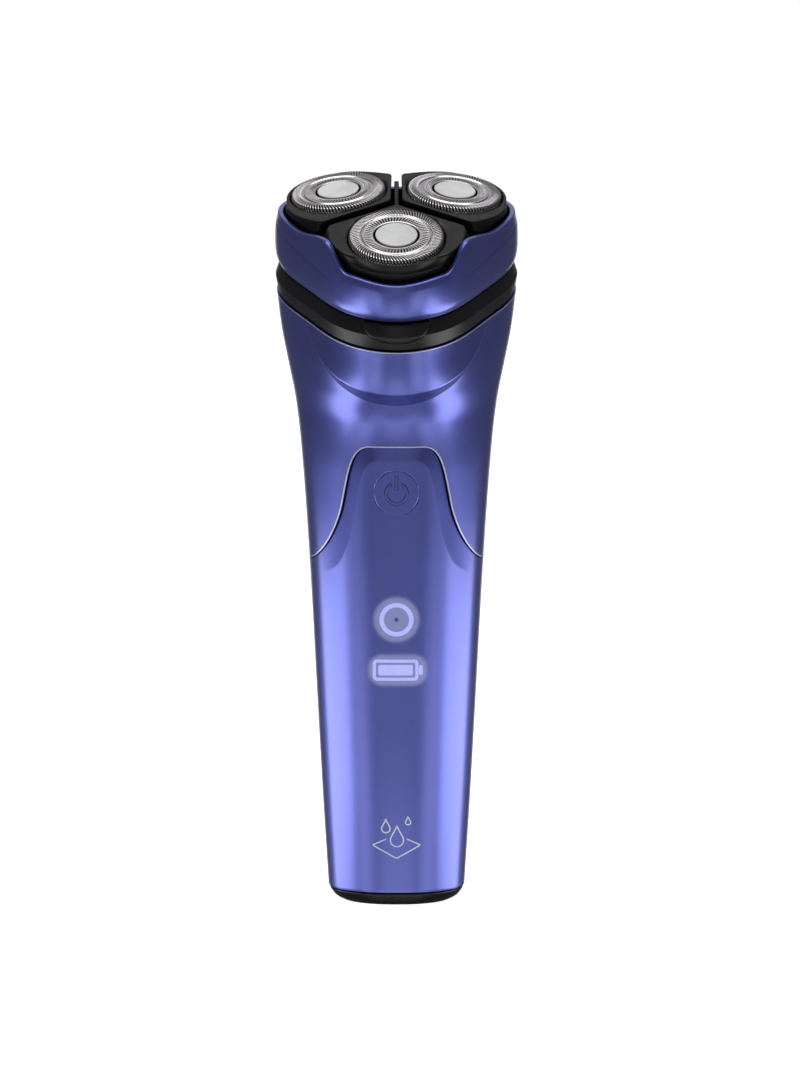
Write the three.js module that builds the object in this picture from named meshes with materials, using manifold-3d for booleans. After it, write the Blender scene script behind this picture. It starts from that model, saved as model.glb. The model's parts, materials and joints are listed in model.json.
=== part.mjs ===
// Rotary electric shaver with three floating discs. Millimetres, +Z up, front towards -Y.
// The origin is the centre of the flat base face.
import * as THREE from 'three';
import { mergeVertices } from 'three/addons/utils/BufferGeometryUtils.js';
import Module from 'manifold-3d';

const wasm = await Module();
wasm.setup();

// ---- Driving dimensions ----

const GAP = 0.3;                 // clearance between neighbouring pieces
const WALL = 2.0;                // housing wall
const AROUND = 40;               // facets around a large shell

// Handle stations: height, half width, depth to the front, depth to the back
const STATIONS = [
  [3.3, 16.2, 13.4, 13.2],
  [24, 17.5, 14.9, 14.6],
  [48, 18.8, 16.1, 15.5],
  [80, 20.5, 17.6, 16.9],
  [106, 22.3, 18.7, 19.0],
  [118, 23.7, 20.6, 20.6],
  [127, 25.4, 24.4, 22.0],
  [134, 26.6, 27.4, 23.0],
  [142, 27.4, 29.97, 24.03],
];
const HANDLE_SQUARENESS = 2.35;  // superellipse exponent of the handle section

// Head outline: a rounded triangle with one lobe at the front
const LOBE_RADIUS = 27.0;
const LOBE_SHARE = 0.11;

// Parting plane between neck and head, tilted forward
const NECK_CENTRE = new THREE.Vector3(0, -3, 148.7);
const NECK_TILT = THREE.MathUtils.degToRad(18.4);
const RING_HEIGHT = 6.8;
const RING_WALL = 2.4;
const RELEASE_TRAVEL = 0.8;      // how far the release button presses in

// Drive: three spindles around the motor axis, tilted a little more than the neck
const DRIVE_CENTRE = new THREE.Vector3(0, -2, 148.6);
const DRIVE_TILT = THREE.MathUtils.degToRad(21);
const SPINDLE_CIRCLE = 15.0;
const SOCKET_HEIGHT = 11.5;      // socket centre above the drive origin
const DISC_TILT = THREE.MathUtils.degToRad(7);
const DISC_COUNT = 3;

// Gear train
const MODULE = 0.75;
const PINION_TEETH = 12;
const GEAR_TEETH = 28;
const BACKLASH = 0.2;
const GEAR_BOTTOM = -9.0;
const GEAR_WIDTH = 3.0;

// Discs
const FOIL_RADIUS = 11.1;
const FOIL_TOP = 5.9;            // above the socket centre
const HUB_HOLE = 5.3;
const PETAL_TOP = 5.2;
const PETAL_BOTTOM = 0.2;
const PETAL_GAP = 1.15;          // half of the gap between two petals

// Front controls, as heights on the panel
const BUTTON_HEIGHT = 98.5;
const BUTTON_RADIUS = 5.2;
const RING_LIGHT_HEIGHT = 68.7;
const BATTERY_LIGHT_HEIGHT = 56.7;
const PANEL_SPLIT = 1.5;         // the panel ends just behind the widest line

// Hinge behind the ring, in the neck's own frame
const HINGE = { y: 25.3, z: 0.15, radius: 1.6, pin: 0.6, middle: 2.9, outer: 6.4 };

// ---- Helpers ----

const rad = THREE.MathUtils.degToRad;

function smooth(t) {
  return THREE.MathUtils.smoothstep(t, 0, 1);
}

// Smooth value through the station table, by cubic Hermite pieces.
function station(height, column) {
  const last = STATIONS.length - 1;
  let i = STATIONS.findIndex((row) => row[0] > height) - 1;
  if (i < 0) i = height < STATIONS[0][0] ? 0 : last - 1;
  const slope = (k) => {
    const low = STATIONS[Math.max(k - 1, 0)];
    const high = STATIONS[Math.min(k + 1, last)];
    return (high[column] - low[column]) / (high[0] - low[0]);
  };
  const [a, b] = [STATIONS[i], STATIONS[i + 1]];
  const span = b[0] - a[0];
  const t = (height - a[0]) / span;
  const h00 = 2 * t ** 3 - 3 * t ** 2 + 1;
  const h10 = t ** 3 - 2 * t ** 2 + t;
  const h01 = -2 * t ** 3 + 3 * t ** 2;
  const h11 = t ** 3 - t ** 2;
  return h00 * a[column] + h10 * span * slope(i) + h01 * b[column] + h11 * span * slope(i + 1);
}

function ovalRadius(angle, width, front, back, power) {
  const depth = Math.cos(angle) > 0 ? front : back;
  const across = Math.abs(Math.sin(angle)) / width;
  const along = Math.abs(Math.cos(angle)) / depth;
  return (across ** power + along ** power) ** (-1 / power);
}

function headRadius(angle) {
  return LOBE_RADIUS * (1 + LOBE_SHARE * Math.cos(3 * angle));
}

// Handle radius at an angle from the front, turning from an oval into the head outline.
function handleRadius(angle, height) {
  const top = STATIONS[STATIONS.length - 1];
  const ratio = headRadius(angle) / ovalRadius(angle, top[1], top[2], top[3], 2);
  const share = smooth((height - 104) / (top[0] - 104));
  const power = HANDLE_SQUARENESS + (2 - HANDLE_SQUARENESS) * smooth((height - 90) / 52);
  const oval = ovalRadius(angle, station(height, 1), station(height, 2), station(height, 3), power);
  return oval * (1 + share * (ratio - 1));
}

// One closed loop of points around the handle. The loops tilt forward towards the neck.
function handleLoop(height, inset) {
  const tilt = NECK_TILT * smooth((height - 92) / 50);
  const shift = -0.77 * Math.max(0, (height - 110) / 32) ** 2;
  const loop = [];
  for (let k = 0; k < AROUND; k += 1) {
    const angle = (k / AROUND) * 2 * Math.PI;
    const radius = handleRadius(angle, height) - inset;
    const y = -radius * Math.cos(angle);
    loop.push(new THREE.Vector3(
      radius * Math.sin(angle), shift + y * Math.cos(tilt), height + y * Math.sin(tilt)));
  }
  return loop;
}

function flatLoop(radiusAt, height, count = AROUND) {
  const loop = [];
  for (let k = 0; k < count; k += 1) {
    const angle = (k / count) * 2 * Math.PI;
    const radius = radiusAt(angle);
    const z = typeof height === 'function' ? height(angle) : height;
    loop.push(new THREE.Vector3(radius * Math.sin(angle), -radius * Math.cos(angle), z));
  }
  return loop;
}

function facesOutward(geometry) {
  const place = geometry.getAttribute('position');
  const index = geometry.index;
  const corner = [0, 1, 2].map(() => new THREE.Vector3());
  let volume = 0;
  for (let i = 0; i < index.count; i += 3) {
    corner.forEach((point, k) => point.fromBufferAttribute(place, index.getX(i + k)));
    volume += corner[0].dot(corner[1].clone().cross(corner[2]));
  }
  if (volume < 0) {
    for (let i = 0; i < index.count; i += 3) {
      const swap = index.getX(i);
      index.setX(i, index.getX(i + 1));
      index.setX(i + 1, swap);
    }
  }
  return geometry;
}

// Drops normals, merges shared vertices and makes the faces point out.
function closed(geometry) {
  const bare = geometry.clone();
  for (const name of Object.keys(bare.attributes)) {
    if (name !== 'position') bare.deleteAttribute(name);
  }
  const merged = mergeVertices(bare, 1e-4);
  const kept = [];
  for (let i = 0; i < merged.index.count; i += 3) {
    const [a, b, c] = [0, 1, 2].map((k) => merged.index.getX(i + k));
    if (a !== b && b !== c && c !== a) kept.push(a, b, c);
  }
  merged.setIndex(kept);
  return facesOutward(merged);
}

// Joins loops of equal length. Open ends are capped, or the last loop joins the first.
function loft(loops, endless = false) {
  const count = loops[0].length;
  const points = loops.flat().flatMap((point) => [point.x, point.y, point.z]);
  const faces = [];
  const rows = endless ? loops.length : loops.length - 1;
  for (let row = 0; row < rows; row += 1) {
    const low = row * count;
    const high = ((row + 1) % loops.length) * count;
    for (let k = 0; k < count; k += 1) {
      const next = (k + 1) % count;
      faces.push(low + k, low + next, high + next, low + k, high + next, high + k);
    }
  }
  if (!endless) {
    for (const [row, turned] of [[0, true], [loops.length - 1, false]]) {
      const middle = new THREE.Vector3();
      loops[row].forEach((point) => middle.addScaledVector(point, 1 / count));
      const centre = points.length / 3;
      points.push(middle.x, middle.y, middle.z);
      for (let k = 0; k < count; k += 1) {
        const pair = [row * count + k, row * count + (k + 1) % count];
        faces.push(centre, ...(turned ? pair.reverse() : pair));
      }
    }
  }
  const geometry = new THREE.BufferGeometry();
  geometry.setAttribute('position', new THREE.Float32BufferAttribute(points, 3));
  geometry.setIndex(faces);
  return closed(geometry);
}

function turned(profile, segments = 24) {
  const points = profile.map(([radius, z]) => new THREE.Vector2(radius, z));
  return closed(new THREE.LatheGeometry(points, segments).rotateX(Math.PI / 2));
}

// A ring or tube is a turned profile that closes on itself.
function tube(inner, outer, bottom, top, segments = 24) {
  const profile = [[inner, bottom], [outer, bottom], [outer, top], [inner, top], [inner, bottom]];
  return turned(profile, segments);
}

function rod(radius, bottom, top, segments = 16) {
  return turned([[0, bottom], [radius, bottom], [radius, top], [0, top]], segments);
}

function box(width, depth, height, x, y, z) {
  return closed(new THREE.BoxGeometry(width, depth, height).translate(x, y, z));
}

function plate(shape, bottom, top, curveSegments = 8) {
  const options = { depth: top - bottom, bevelEnabled: false, curveSegments };
  return closed(new THREE.ExtrudeGeometry(shape, options).translate(0, 0, bottom));
}

function loopShape(loop) {
  return new THREE.Shape(loop.map((point) => new THREE.Vector2(point.x, point.y)));
}

function roundHole(x, y, radius) {
  return new THREE.Path().absarc(x, y, radius, 0, 2 * Math.PI, true);
}

function solid(geometry) {
  const clean = closed(geometry);
  return new wasm.Manifold(new wasm.Mesh({
    numProp: 3,
    vertProperties: new Float32Array(clean.getAttribute('position').array),
    triVerts: new Uint32Array(clean.index.array),
  }));
}

function geometryOf(body) {
  const mesh = body.getMesh();
  const geometry = new THREE.BufferGeometry();
  geometry.setAttribute('position', new THREE.BufferAttribute(new Float32Array(mesh.vertProperties), 3));
  geometry.setIndex(new THREE.BufferAttribute(new Uint32Array(mesh.triVerts), 1));
  return geometry;
}

function cut(geometry, ...tools) {
  return geometryOf(tools.reduce((body, tool) => body.subtract(solid(tool)), solid(geometry)));
}

function join(...pieces) {
  const [first, ...rest] = pieces;
  return geometryOf(rest.reduce((body, piece) => body.add(solid(piece)), solid(first)));
}

function common(a, b) {
  return geometryOf(solid(a).intersect(solid(b)));
}

function material(color, roughness, metalness) {
  return new THREE.MeshStandardMaterial({ color, roughness, metalness });
}

const BLUE = material(0x5059b0, 0.35, 0.8);
const BLACK = material(0x1d1c20, 0.4, 0.0);
const SATIN_BLACK = material(0x35302f, 0.5, 0.0);
const STEEL = material(0xb8b6b4, 0.3, 1.0);
const WHITE = material(0xe8e7e2, 0.4, 0.0);
const RUBBER = material(0x18181a, 0.8, 0.0);
const NYLON = material(0xd8d4c8, 0.6, 0.0);
const GREEN = material(0x1f5a38, 0.6, 0.0);
const GLOW = material(0xdfe4ff, 0.4, 0.0);
const WRAP = material(0x2f5f9e, 0.5, 0.0);

const shaver = new THREE.Group();
const neck = new THREE.Group();
neck.position.copy(NECK_CENTRE);
neck.rotation.x = NECK_TILT;
const drive = new THREE.Group();
drive.position.copy(DRIVE_CENTRE);
drive.rotation.x = DRIVE_TILT;
shaver.add(neck, drive);
shaver.updateMatrixWorld(true);

function add(group, name, geometry, finish) {
  const mesh = new THREE.Mesh(geometry, finish);
  mesh.name = name;
  group.add(mesh);
  return mesh;
}

// Matrix from the drive's frame into the neck's frame.
const driveInNeck = neck.matrixWorld.clone().invert().multiply(drive.matrixWorld);

// ---- Handle housing ----

// Front outline of the panel below its arch, extruded along Y. Grows by the given margin.
function archBlock(margin) {
  const side = 40;
  const shape = new THREE.Shape();
  shape.moveTo(-side, -10);
  shape.lineTo(side, -10);
  shape.lineTo(side, 74 + margin);
  shape.lineTo(20.6, 81.2 + margin);
  shape.bezierCurveTo(16.6 + margin, 84.2 + margin, 13.6 + margin, 90.5, 12.6 + margin, 96);
  shape.bezierCurveTo(11.2 + margin, 103.5, 10.6, 109.3 + margin, 6.2, 109.3 + margin);
  shape.lineTo(-6.2, 109.3 + margin);
  shape.bezierCurveTo(-10.6, 109.3 + margin, -11.2 - margin, 103.5, -12.6 - margin, 96);
  shape.bezierCurveTo(-13.6 - margin, 90.5, -16.6 - margin, 84.2 + margin, -20.6, 81.2 + margin);
  shape.lineTo(-side, 74 + margin);
  // The extrusion is turned to run along Y, from far in front to just behind the widest line.
  return plate(shape, -(PANEL_SPLIT + margin), 60, 6).rotateX(Math.PI / 2);
}

const LOOP_HEIGHTS = [3.3, 48, 80, 94, 106, 115, 121, 127, 134, 142];

function handleShell() {
  const outer = loft(LOOP_HEIGHTS.map((height) => handleLoop(height, 0)));
  const heights = [...LOOP_HEIGHTS];
  heights[0] -= 2;
  heights[heights.length - 1] += 2;
  const inner = loft(heights.map((height) => handleLoop(height, WALL)));
  return { outer, inner };
}

const { outer: handleOuter, inner: handleInner } = handleShell();

// A cylinder along Y on the front of the panel.
function frontCylinder(radius, height, front, back, segments = 32) {
  return rod(radius, -back, -front, segments).rotateX(Math.PI / 2).translate(0, 0, height);
}


function placed(geometry, x, y, z) {
  return geometry.translate(x, y, z);
}

function addHousing() {
  const wall = cut(handleOuter, handleInner);
  const buttonHole = frontCylinder(BUTTON_RADIUS + GAP, BUTTON_HEIGHT, -30, -10);
  add(shaver, 'rear_housing', cut(wall, archBlock(GAP / 2)), BLUE);
  add(shaver, 'front_panel', cut(common(wall, archBlock(-GAP / 2)), buttonHole), BLUE);
}

// The button's face is a piece of the panel's own surface, on a stem that reaches the switch.
function addPowerButton() {
  const face = common(handleOuter, frontCylinder(BUTTON_RADIUS, BUTTON_HEIGHT, -30, -16.7));
  const stem = frontCylinder(2, BUTTON_HEIGHT, -17, -13.6, 16);
  add(shaver, 'power_button', join(face, stem), BLUE);
}

// ---- Bottom cap ----

function ovalLoop(width, depth, height) {
  return flatLoop((angle) => ovalRadius(angle, width, depth, depth, HANDLE_SQUARENESS), height, 28);
}

// An upright slot outline with round ends, for the charging port.
function slotPlate(width, height, bottom, top) {
  const reach = (width - height) / 2;
  const shape = new THREE.Shape();
  shape.absarc(reach, 0, height / 2, -Math.PI / 2, Math.PI / 2, false);
  shape.absarc(-reach, 0, height / 2, Math.PI / 2, 1.5 * Math.PI, false);
  return plate(shape, bottom, top, 6);
}

const PORT_Y = 6.0;

function addBottomCap() {
  const outside = loft([
    ovalLoop(12.5, 11.2, 0), ovalLoop(14.1, 12.0, 0.6), ovalLoop(15.4, 12.8, 1.8), ovalLoop(15.9, 13.1, 3.0),
  ]);
  const spigot = loft([ovalLoop(13.0, 10.0, 2.5), ovalLoop(13.0, 10.0, 8.0)]);
  const hollow = loft([ovalLoop(11.4, 8.4, 1.8), ovalLoop(11.4, 8.4, 9.0)]);
  const port = placed(slotPlate(9.8, 4.2, -1, 3), 0, PORT_Y, 0);
  add(shaver, 'bottom_cap', cut(cut(join(outside, spigot), hollow), port), BLACK);
  add(shaver, 'bottom_seal', loft([
    ovalLoop(13.3, 10.3, 5.0), ovalLoop(14.0, 10.9, 5.0), ovalLoop(14.0, 10.9, 6.4), ovalLoop(13.3, 10.3, 6.4),
  ], true), RUBBER);
  const shell = cut(slotPlate(9.2, 3.6, 0.6, 6.6), slotPlate(8.4, 2.8, 0, 5.6));
  add(shaver, 'charging_socket', placed(shell, 0, PORT_Y, 0), STEEL);
  add(shaver, 'charging_tongue', box(6.6, 0.7, 4.2, 0, PORT_Y, 3.2), BLACK);
}

// ---- Inside the handle ----

const BATTERY = { radius: 7.1, bottom: 12.3, top: 62.3, y: 3.6 };
const BOARD_FRONT = -9.6;
const CHASSIS_FRONT = -6.4;
const HOUSING_SCREWS = [['housing_screw_lower', 20], ['housing_screw_upper', 88]];
const HOUSING_SCREW_X = 10;

function addChassis() {
  const back = box(24, 1.6, 94, 0, CHASSIS_FRONT + 0.8, 57);
  const lowerShelf = box(18, 13, 1.6, 0, 1.5, 9.8);
  const upperShelf = box(20, 14, 1.6, 0, 2, 65.4);
  const post = box(4, 9, 14, 0, -0.5, 73);
  const holes = HOUSING_SCREWS.map(([, height]) => placed(
    rod(1.3, -2, 10, 12).rotateX(Math.PI / 2), HOUSING_SCREW_X, 0, height));
  add(shaver, 'chassis', cut(join(back, lowerShelf, upperShelf, post), ...holes), NYLON);
  const cell = turned([
    [0, BATTERY.bottom], [BATTERY.radius, BATTERY.bottom], [BATTERY.radius, BATTERY.top - 1],
    [2.8, BATTERY.top - 1], [2.8, BATTERY.top], [0, BATTERY.top]], 32);
  add(shaver, 'battery_cell', placed(cell, 0, BATTERY.y, 0), WRAP);
  add(shaver, 'battery_tab_lower', box(5, 5, 0.4, 0, BATTERY.y, BATTERY.bottom - 0.7), STEEL);
  add(shaver, 'battery_tab_upper', box(5, 5, 0.4, 0, BATTERY.y, BATTERY.top + 0.7), STEEL);
}

function addBoard() {
  add(shaver, 'circuit_board', box(18, 1.2, 88, 0, BOARD_FRONT + 0.6, 58), GREEN);
  add(shaver, 'power_switch', box(6, 3.2, 6, 0, BOARD_FRONT - 1.9, BUTTON_HEIGHT), BLACK);
  const guide = tube(2.9, 4.0, 9.6, 14.5, 24).rotateX(Math.PI / 2);
  add(shaver, 'indicator_light_guide', placed(guide, 0, 0, RING_LIGHT_HEIGHT), GLOW);
  add(shaver, 'battery_light_guide', box(10.6, 3.8, 4.6, 0, -11.6, BATTERY_LIGHT_HEIGHT), GLOW);
}

// Two screws hold the chassis to the rear housing.
function addHousingScrews() {
  const head = 1.2;
  for (const [name, height] of HOUSING_SCREWS) {
    const screw = turned([[0, 0], [1.9, 0], [1.9, head], [1.0, head], [1.0, 5.5], [0, 5.5]], 16);
    screw.rotateX(-Math.PI / 2);
    add(shaver, name, placed(screw, HOUSING_SCREW_X, CHASSIS_FRONT - GAP - head, height), STEEL);
  }
}

// ---- Neck ring, release button and deck ----

function ringLoop(inset, height) {
  return flatLoop((angle) => headRadius(angle) - inset, height);
}

function alongX(radius, from, to, segments = 14) {
  const cylinder = rod(radius, from, to, segments).rotateY(Math.PI / 2);
  return placed(cylinder, 0, HINGE.y, HINGE.z);
}

// Front outline of the release button: flat top, curved bottom. Travel makes room behind it.
function buttonBlock(margin, raise, travel = 0) {
  const shape = new THREE.Shape();
  const side = 7.75 + margin;
  shape.moveTo(-side, -0.3 + raise);
  shape.lineTo(-side, -1.4);
  shape.bezierCurveTo(-6.7 - margin, -4.1 - margin, -3.2, -4.8 - margin, 0, -4.8 - margin);
  shape.bezierCurveTo(3.2, -4.8 - margin, 6.7 + margin, -4.1 - margin, side, -1.4);
  shape.lineTo(side, -0.3 + raise);
  return plate(shape, 27.4 - margin - travel, 40, 6).rotateX(Math.PI / 2);
}

function addNeckRing() {
  const ring = loft([
    ringLoop(0.2, -RING_HEIGHT), ringLoop(-0.35, -3.2), ringLoop(0.7, 0),
    ringLoop(RING_WALL, 0), ringLoop(RING_WALL, -RING_HEIGHT),
  ], true);
  const ends = [[HINGE.middle + GAP, HINGE.outer], [-HINGE.outer, -HINGE.middle - GAP]];
  const knuckles = ends.map(([from, to]) => alongX(HINGE.radius, from, to));
  const webs = ends.map(([from, to]) => box(to - from, 3, 1.5, (from + to) / 2, HINGE.y - 1.9, -1.2));
  const clearance = alongX(HINGE.radius + GAP, -HINGE.middle - GAP, HINGE.middle + GAP);
  const bore = alongX(HINGE.pin + GAP, -10, 10);
  const body = cut(ring, buttonBlock(GAP, 5, RELEASE_TRAVEL), clearance);
  add(neck, 'neck_ring', cut(join(body, ...webs, ...knuckles), bore), BLACK);
  add(neck, 'hinge_pin', alongX(HINGE.pin, -HINGE.outer + 0.1, HINGE.outer - 0.1, 12), STEEL);
}

function addReleaseButton() {
  const skin = loft([ringLoop(-0.2, -RING_HEIGHT), ringLoop(-0.75, -3.2), ringLoop(0.3, 0)]);
  add(neck, 'release_button', common(buttonBlock(0, 0), skin), SATIN_BLACK);
}

function spindleCylinder(index, radius, bottom, top, segments) {
  const cylinder = placed(rod(radius, bottom, top, segments), 0, -SPINDLE_CIRCLE, 0);
  return cylinder.rotateZ(index * 2 * Math.PI / DISC_COUNT);
}

const SPOTS = [0, 1, 2];

function addDeck() {
  const floor = plate(loopShape(ringLoop(RING_WALL + GAP, 0)), -3.4, -1.8);
  const bosses = SPOTS.map((k) => spindleCylinder(k, 5.2, -3.2, 1.8, 18).applyMatrix4(driveInNeck));
  const holes = SPOTS.map((k) => spindleCylinder(k, 3.4, -6, 6, 18).applyMatrix4(driveInNeck));
  const notch = box(17.6, 6, 6, 0, -29.2, -2);
  add(neck, 'neck_deck', cut(join(floor, ...bosses), ...holes, notch), BLACK);
}

// ---- Motor and gear train ----

function gearShape(teeth, phase, bore) {
  const pitch = (MODULE * teeth) / 2;
  const pressure = rad(25);
  const base = pitch * Math.cos(pressure);
  const involute = (radius) => {
    const angle = Math.acos(Math.min(1, base / radius));
    return Math.tan(angle) - angle;
  };
  const half = (Math.PI * MODULE / 2 - BACKLASH / 2) / 2 / pitch;
  const radii = [pitch - 1.05 * MODULE, pitch + 0.8 * MODULE];
  const halves = radii.map((radius) => half + involute(pitch) - involute(radius));
  const points = [];
  for (let tooth = 0; tooth < teeth; tooth += 1) {
    const centre = phase + (tooth / teeth) * 2 * Math.PI;
    const flank = radii.map((radius, k) => [radius, halves[k]]);
    for (const [radius, spread] of flank) {
      points.push([radius, centre - spread]);
    }
    for (const [radius, spread] of flank.reverse()) {
      points.push([radius, centre + spread]);
    }
  }
  const outline = points.map(([radius, angle]) => new THREE.Vector2(
    radius * Math.sin(angle), -radius * Math.cos(angle)));
  const shape = new THREE.Shape(outline);
  shape.holes.push(roundHole(0, 0, bore));
  return shape;
}

// A motor can outline: a circle with flats at the front and the back.
function canShape(radius, flat, bore) {
  const edge = Math.asin(flat / radius);
  const shape = new THREE.Shape();
  shape.absarc(0, 0, radius, -edge, edge, false);
  shape.absarc(0, 0, radius, Math.PI - edge, Math.PI + edge, false);
  if (bore > 0) shape.holes.push(roundHole(0, 0, bore));
  return shape;
}

const MOTOR_TOP = -14.3;
const PLATE_TOP = -11.5;

function addMotor() {
  const can = plate(canShape(9.8, 7.4, 1.5), -31, MOTOR_TOP, 8);
  add(drive, 'motor_can', cut(can, rod(6.8, -32, MOTOR_TOP - 1, 20)), STEEL);
  add(drive, 'motor_armature', tube(1.3, 6.3, -30.2, -17, 20), STEEL);
  add(drive, 'motor_end_cap', plate(canShape(9.2, 6.8, 0), -33.2, -31.3, 8), BLACK);
  const outline = flatLoop((angle) => 18.6 * (1 + 0.14 * Math.cos(3 * angle)), 0, 48);
  const shape = loopShape(outline);
  shape.holes.push(roundHole(0, 0, 2.2));
  for (const angle of SPOTS.map((k) => k * 2 * Math.PI / DISC_COUNT)) {
    const [x, y] = [SPINDLE_CIRCLE * Math.sin(angle), -SPINDLE_CIRCLE * Math.cos(angle)];
    shape.holes.push(roundHole(x, y, 2.3));
  }
  const screwHoles = [-6.5, 6.5].map((x) => placed(rod(1.3, -20, 0, 12), x, 0, 0));
  add(drive, 'motor_plate', cut(plate(shape, MOTOR_TOP + GAP + 0.5, PLATE_TOP, 6), ...screwHoles), NYLON);
  for (const [name, x] of [['motor_screw_left', -6.5], ['motor_screw_right', 6.5]]) {
    const head = PLATE_TOP + GAP;
    const screw = turned([[0, head - 2.7], [0.9, head - 2.7], [0.9, head], [1.7, head],
      [1.7, head + 1], [0, head + 1]], 12);
    add(drive, name, placed(screw, x, 0, 0), STEEL);
  }
  add(drive, 'motor_shaft', rod(1.0, -30.7, GEAR_BOTTOM + 3.8, 12), STEEL);
  const pinion = plate(gearShape(PINION_TEETH, 0, 1.3), GEAR_BOTTOM - 0.5, GEAR_BOTTOM + 3.5, 4);
  add(drive, 'pinion', pinion, NYLON);
}

const SIDES = ['front', 'right', 'left'];

function spokeGroup(index) {
  const group = new THREE.Group();
  group.rotation.z = index * 2 * Math.PI / DISC_COUNT;
  drive.add(group);
  return group;
}

function addDriveStation(group, side) {
  const station = new THREE.Group();
  station.position.y = -SPINDLE_CIRCLE;
  group.add(station);
  const phase = Math.PI + Math.PI / GEAR_TEETH;
  const teeth = plate(gearShape(GEAR_TEETH, phase, 2.3), GEAR_BOTTOM, GEAR_BOTTOM + GEAR_WIDTH, 5);
  add(station, `drive_gear_${side}`, teeth, NYLON);
  const tip = SOCKET_HEIGHT + 0.9;
  add(station, `spindle_${side}`, turned([
    [0, -13.2], [1.9, -13.2], [1.9, GEAR_BOTTOM - 0.8], [3.4, GEAR_BOTTOM - 0.8], [3.4, GEAR_BOTTOM - 0.3],
    [2.0, GEAR_BOTTOM - 0.3], [2.0, 8], [1.7, 8.6], [1.7, tip - 1.1], [1.1, tip], [0, tip]], 12), STEEL);
  add(station, `spindle_seal_${side}`, tube(2.35, 3.1, 0.2, 1.5, 14), RUBBER);
}

// ---- Head ----

function rimHeight(angle) {
  const turn = Math.abs(Math.atan2(Math.sin(angle), Math.cos(angle))) / rad(1);
  const front = 9.4 + 0.9 * smooth(turn / 22);
  const shoulder = 5.75 * smooth((turn - 25) / 16);
  const fall = 2.6 * smooth((turn - 41) / 35);
  const tail = 1.85 * smooth((turn - 85) / 50);
  return front + shoulder - fall - tail;
}

function addHeadShell() {
  const outside = [[0.978, 0], [1.006, 0.16], [1.014, 0.45], [1.005, 0.8], [0.987, 1]];
  const wall = 1.4;
  const height = (share) => (angle) => GAP + (rimHeight(angle) - GAP) * share;
  const loops = outside.map(([scale, share]) => flatLoop((angle) => headRadius(angle) * scale, height(share)));
  const inside = outside.map(([scale, share]) => flatLoop((angle) => headRadius(angle) * scale - wall, height(share)));
  const shell = loft([...loops, ...inside.reverse()], true);
  const ends = [[HINGE.middle, HINGE.outer + GAP], [-HINGE.outer - GAP, -HINGE.middle]];
  const clearances = ends.map(([from, to]) => alongX(HINGE.radius + GAP, from, to));
  const web = box(2 * HINGE.middle, 2.6, 1.5, 0, HINGE.y - 1.6, 1.35);
  const knuckle = alongX(HINGE.radius, -HINGE.middle, HINGE.middle);
  const bore = alongX(HINGE.pin + GAP, -10, 10);
  add(neck, 'head_shell', cut(join(cut(shell, ...clearances), web, knuckle), bore), BLUE);
}

function addHeadFrame() {
  const outline = loopShape(flatLoop((angle) => headRadius(angle) - 3.4, 0));
  for (const angle of SPOTS.map((k) => k * 2 * Math.PI / DISC_COUNT)) {
    const [x, y] = [SPINDLE_CIRCLE * Math.sin(angle), -SPINDLE_CIRCLE * Math.cos(angle)];
    outline.holes.push(roundHole(x, y, 6.5));
  }
  add(drive, 'head_frame', plate(outline, 4.2, 5.8, 5), BLACK);
  add(drive, 'centre_rib', box(1.2, 14.6, 9.2, 0, 9.8, 10.7), BLACK);
}

// The disc frame's edge lies inside the shell and flares out above its rim. The top edge is cut
// back beside each gap.
function petalEdge(angle, worldAngle, share) {
  const atBack = Math.cos(worldAngle) < -0.5;
  const [depth, spread] = atBack ? [5.6, rad(25)] : [3.4, rad(13)];
  const notch = depth * Math.exp(-(((rad(60) - Math.abs(angle)) / spread) ** 2));
  const flare = 0.6 * share * share;
  return headRadius(angle) - 2.3 + flare - share * notch;
}

// One third of the head outline, less half a gap on each side, around the disc's axis.
function petalLoop(index, height, share) {
  const reach = SPINDLE_CIRCLE + Math.sin(DISC_TILT) * height;
  const edge = rad(60) - Math.asin(PETAL_GAP / 20);
  const steps = 14;
  const loop = [new THREE.Vector3(0, reach - PETAL_GAP / Math.sin(rad(60)), height)];
  for (let k = 0; k <= steps; k += 1) {
    const angle = edge * (2 * k / steps - 1);
    const radius = petalEdge(angle, angle + index * rad(120), share);
    loop.push(new THREE.Vector3(radius * Math.sin(angle), reach - radius * Math.cos(angle), height));
  }
  return loop;
}

function petal(index) {
  const body = loft([
    petalLoop(index, PETAL_BOTTOM, 0), petalLoop(index, PETAL_TOP - 2.4, 0.3), petalLoop(index, PETAL_TOP, 1)]);
  return cut(body, rod(FOIL_RADIUS + GAP, -1, 8, 32));
}

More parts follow.
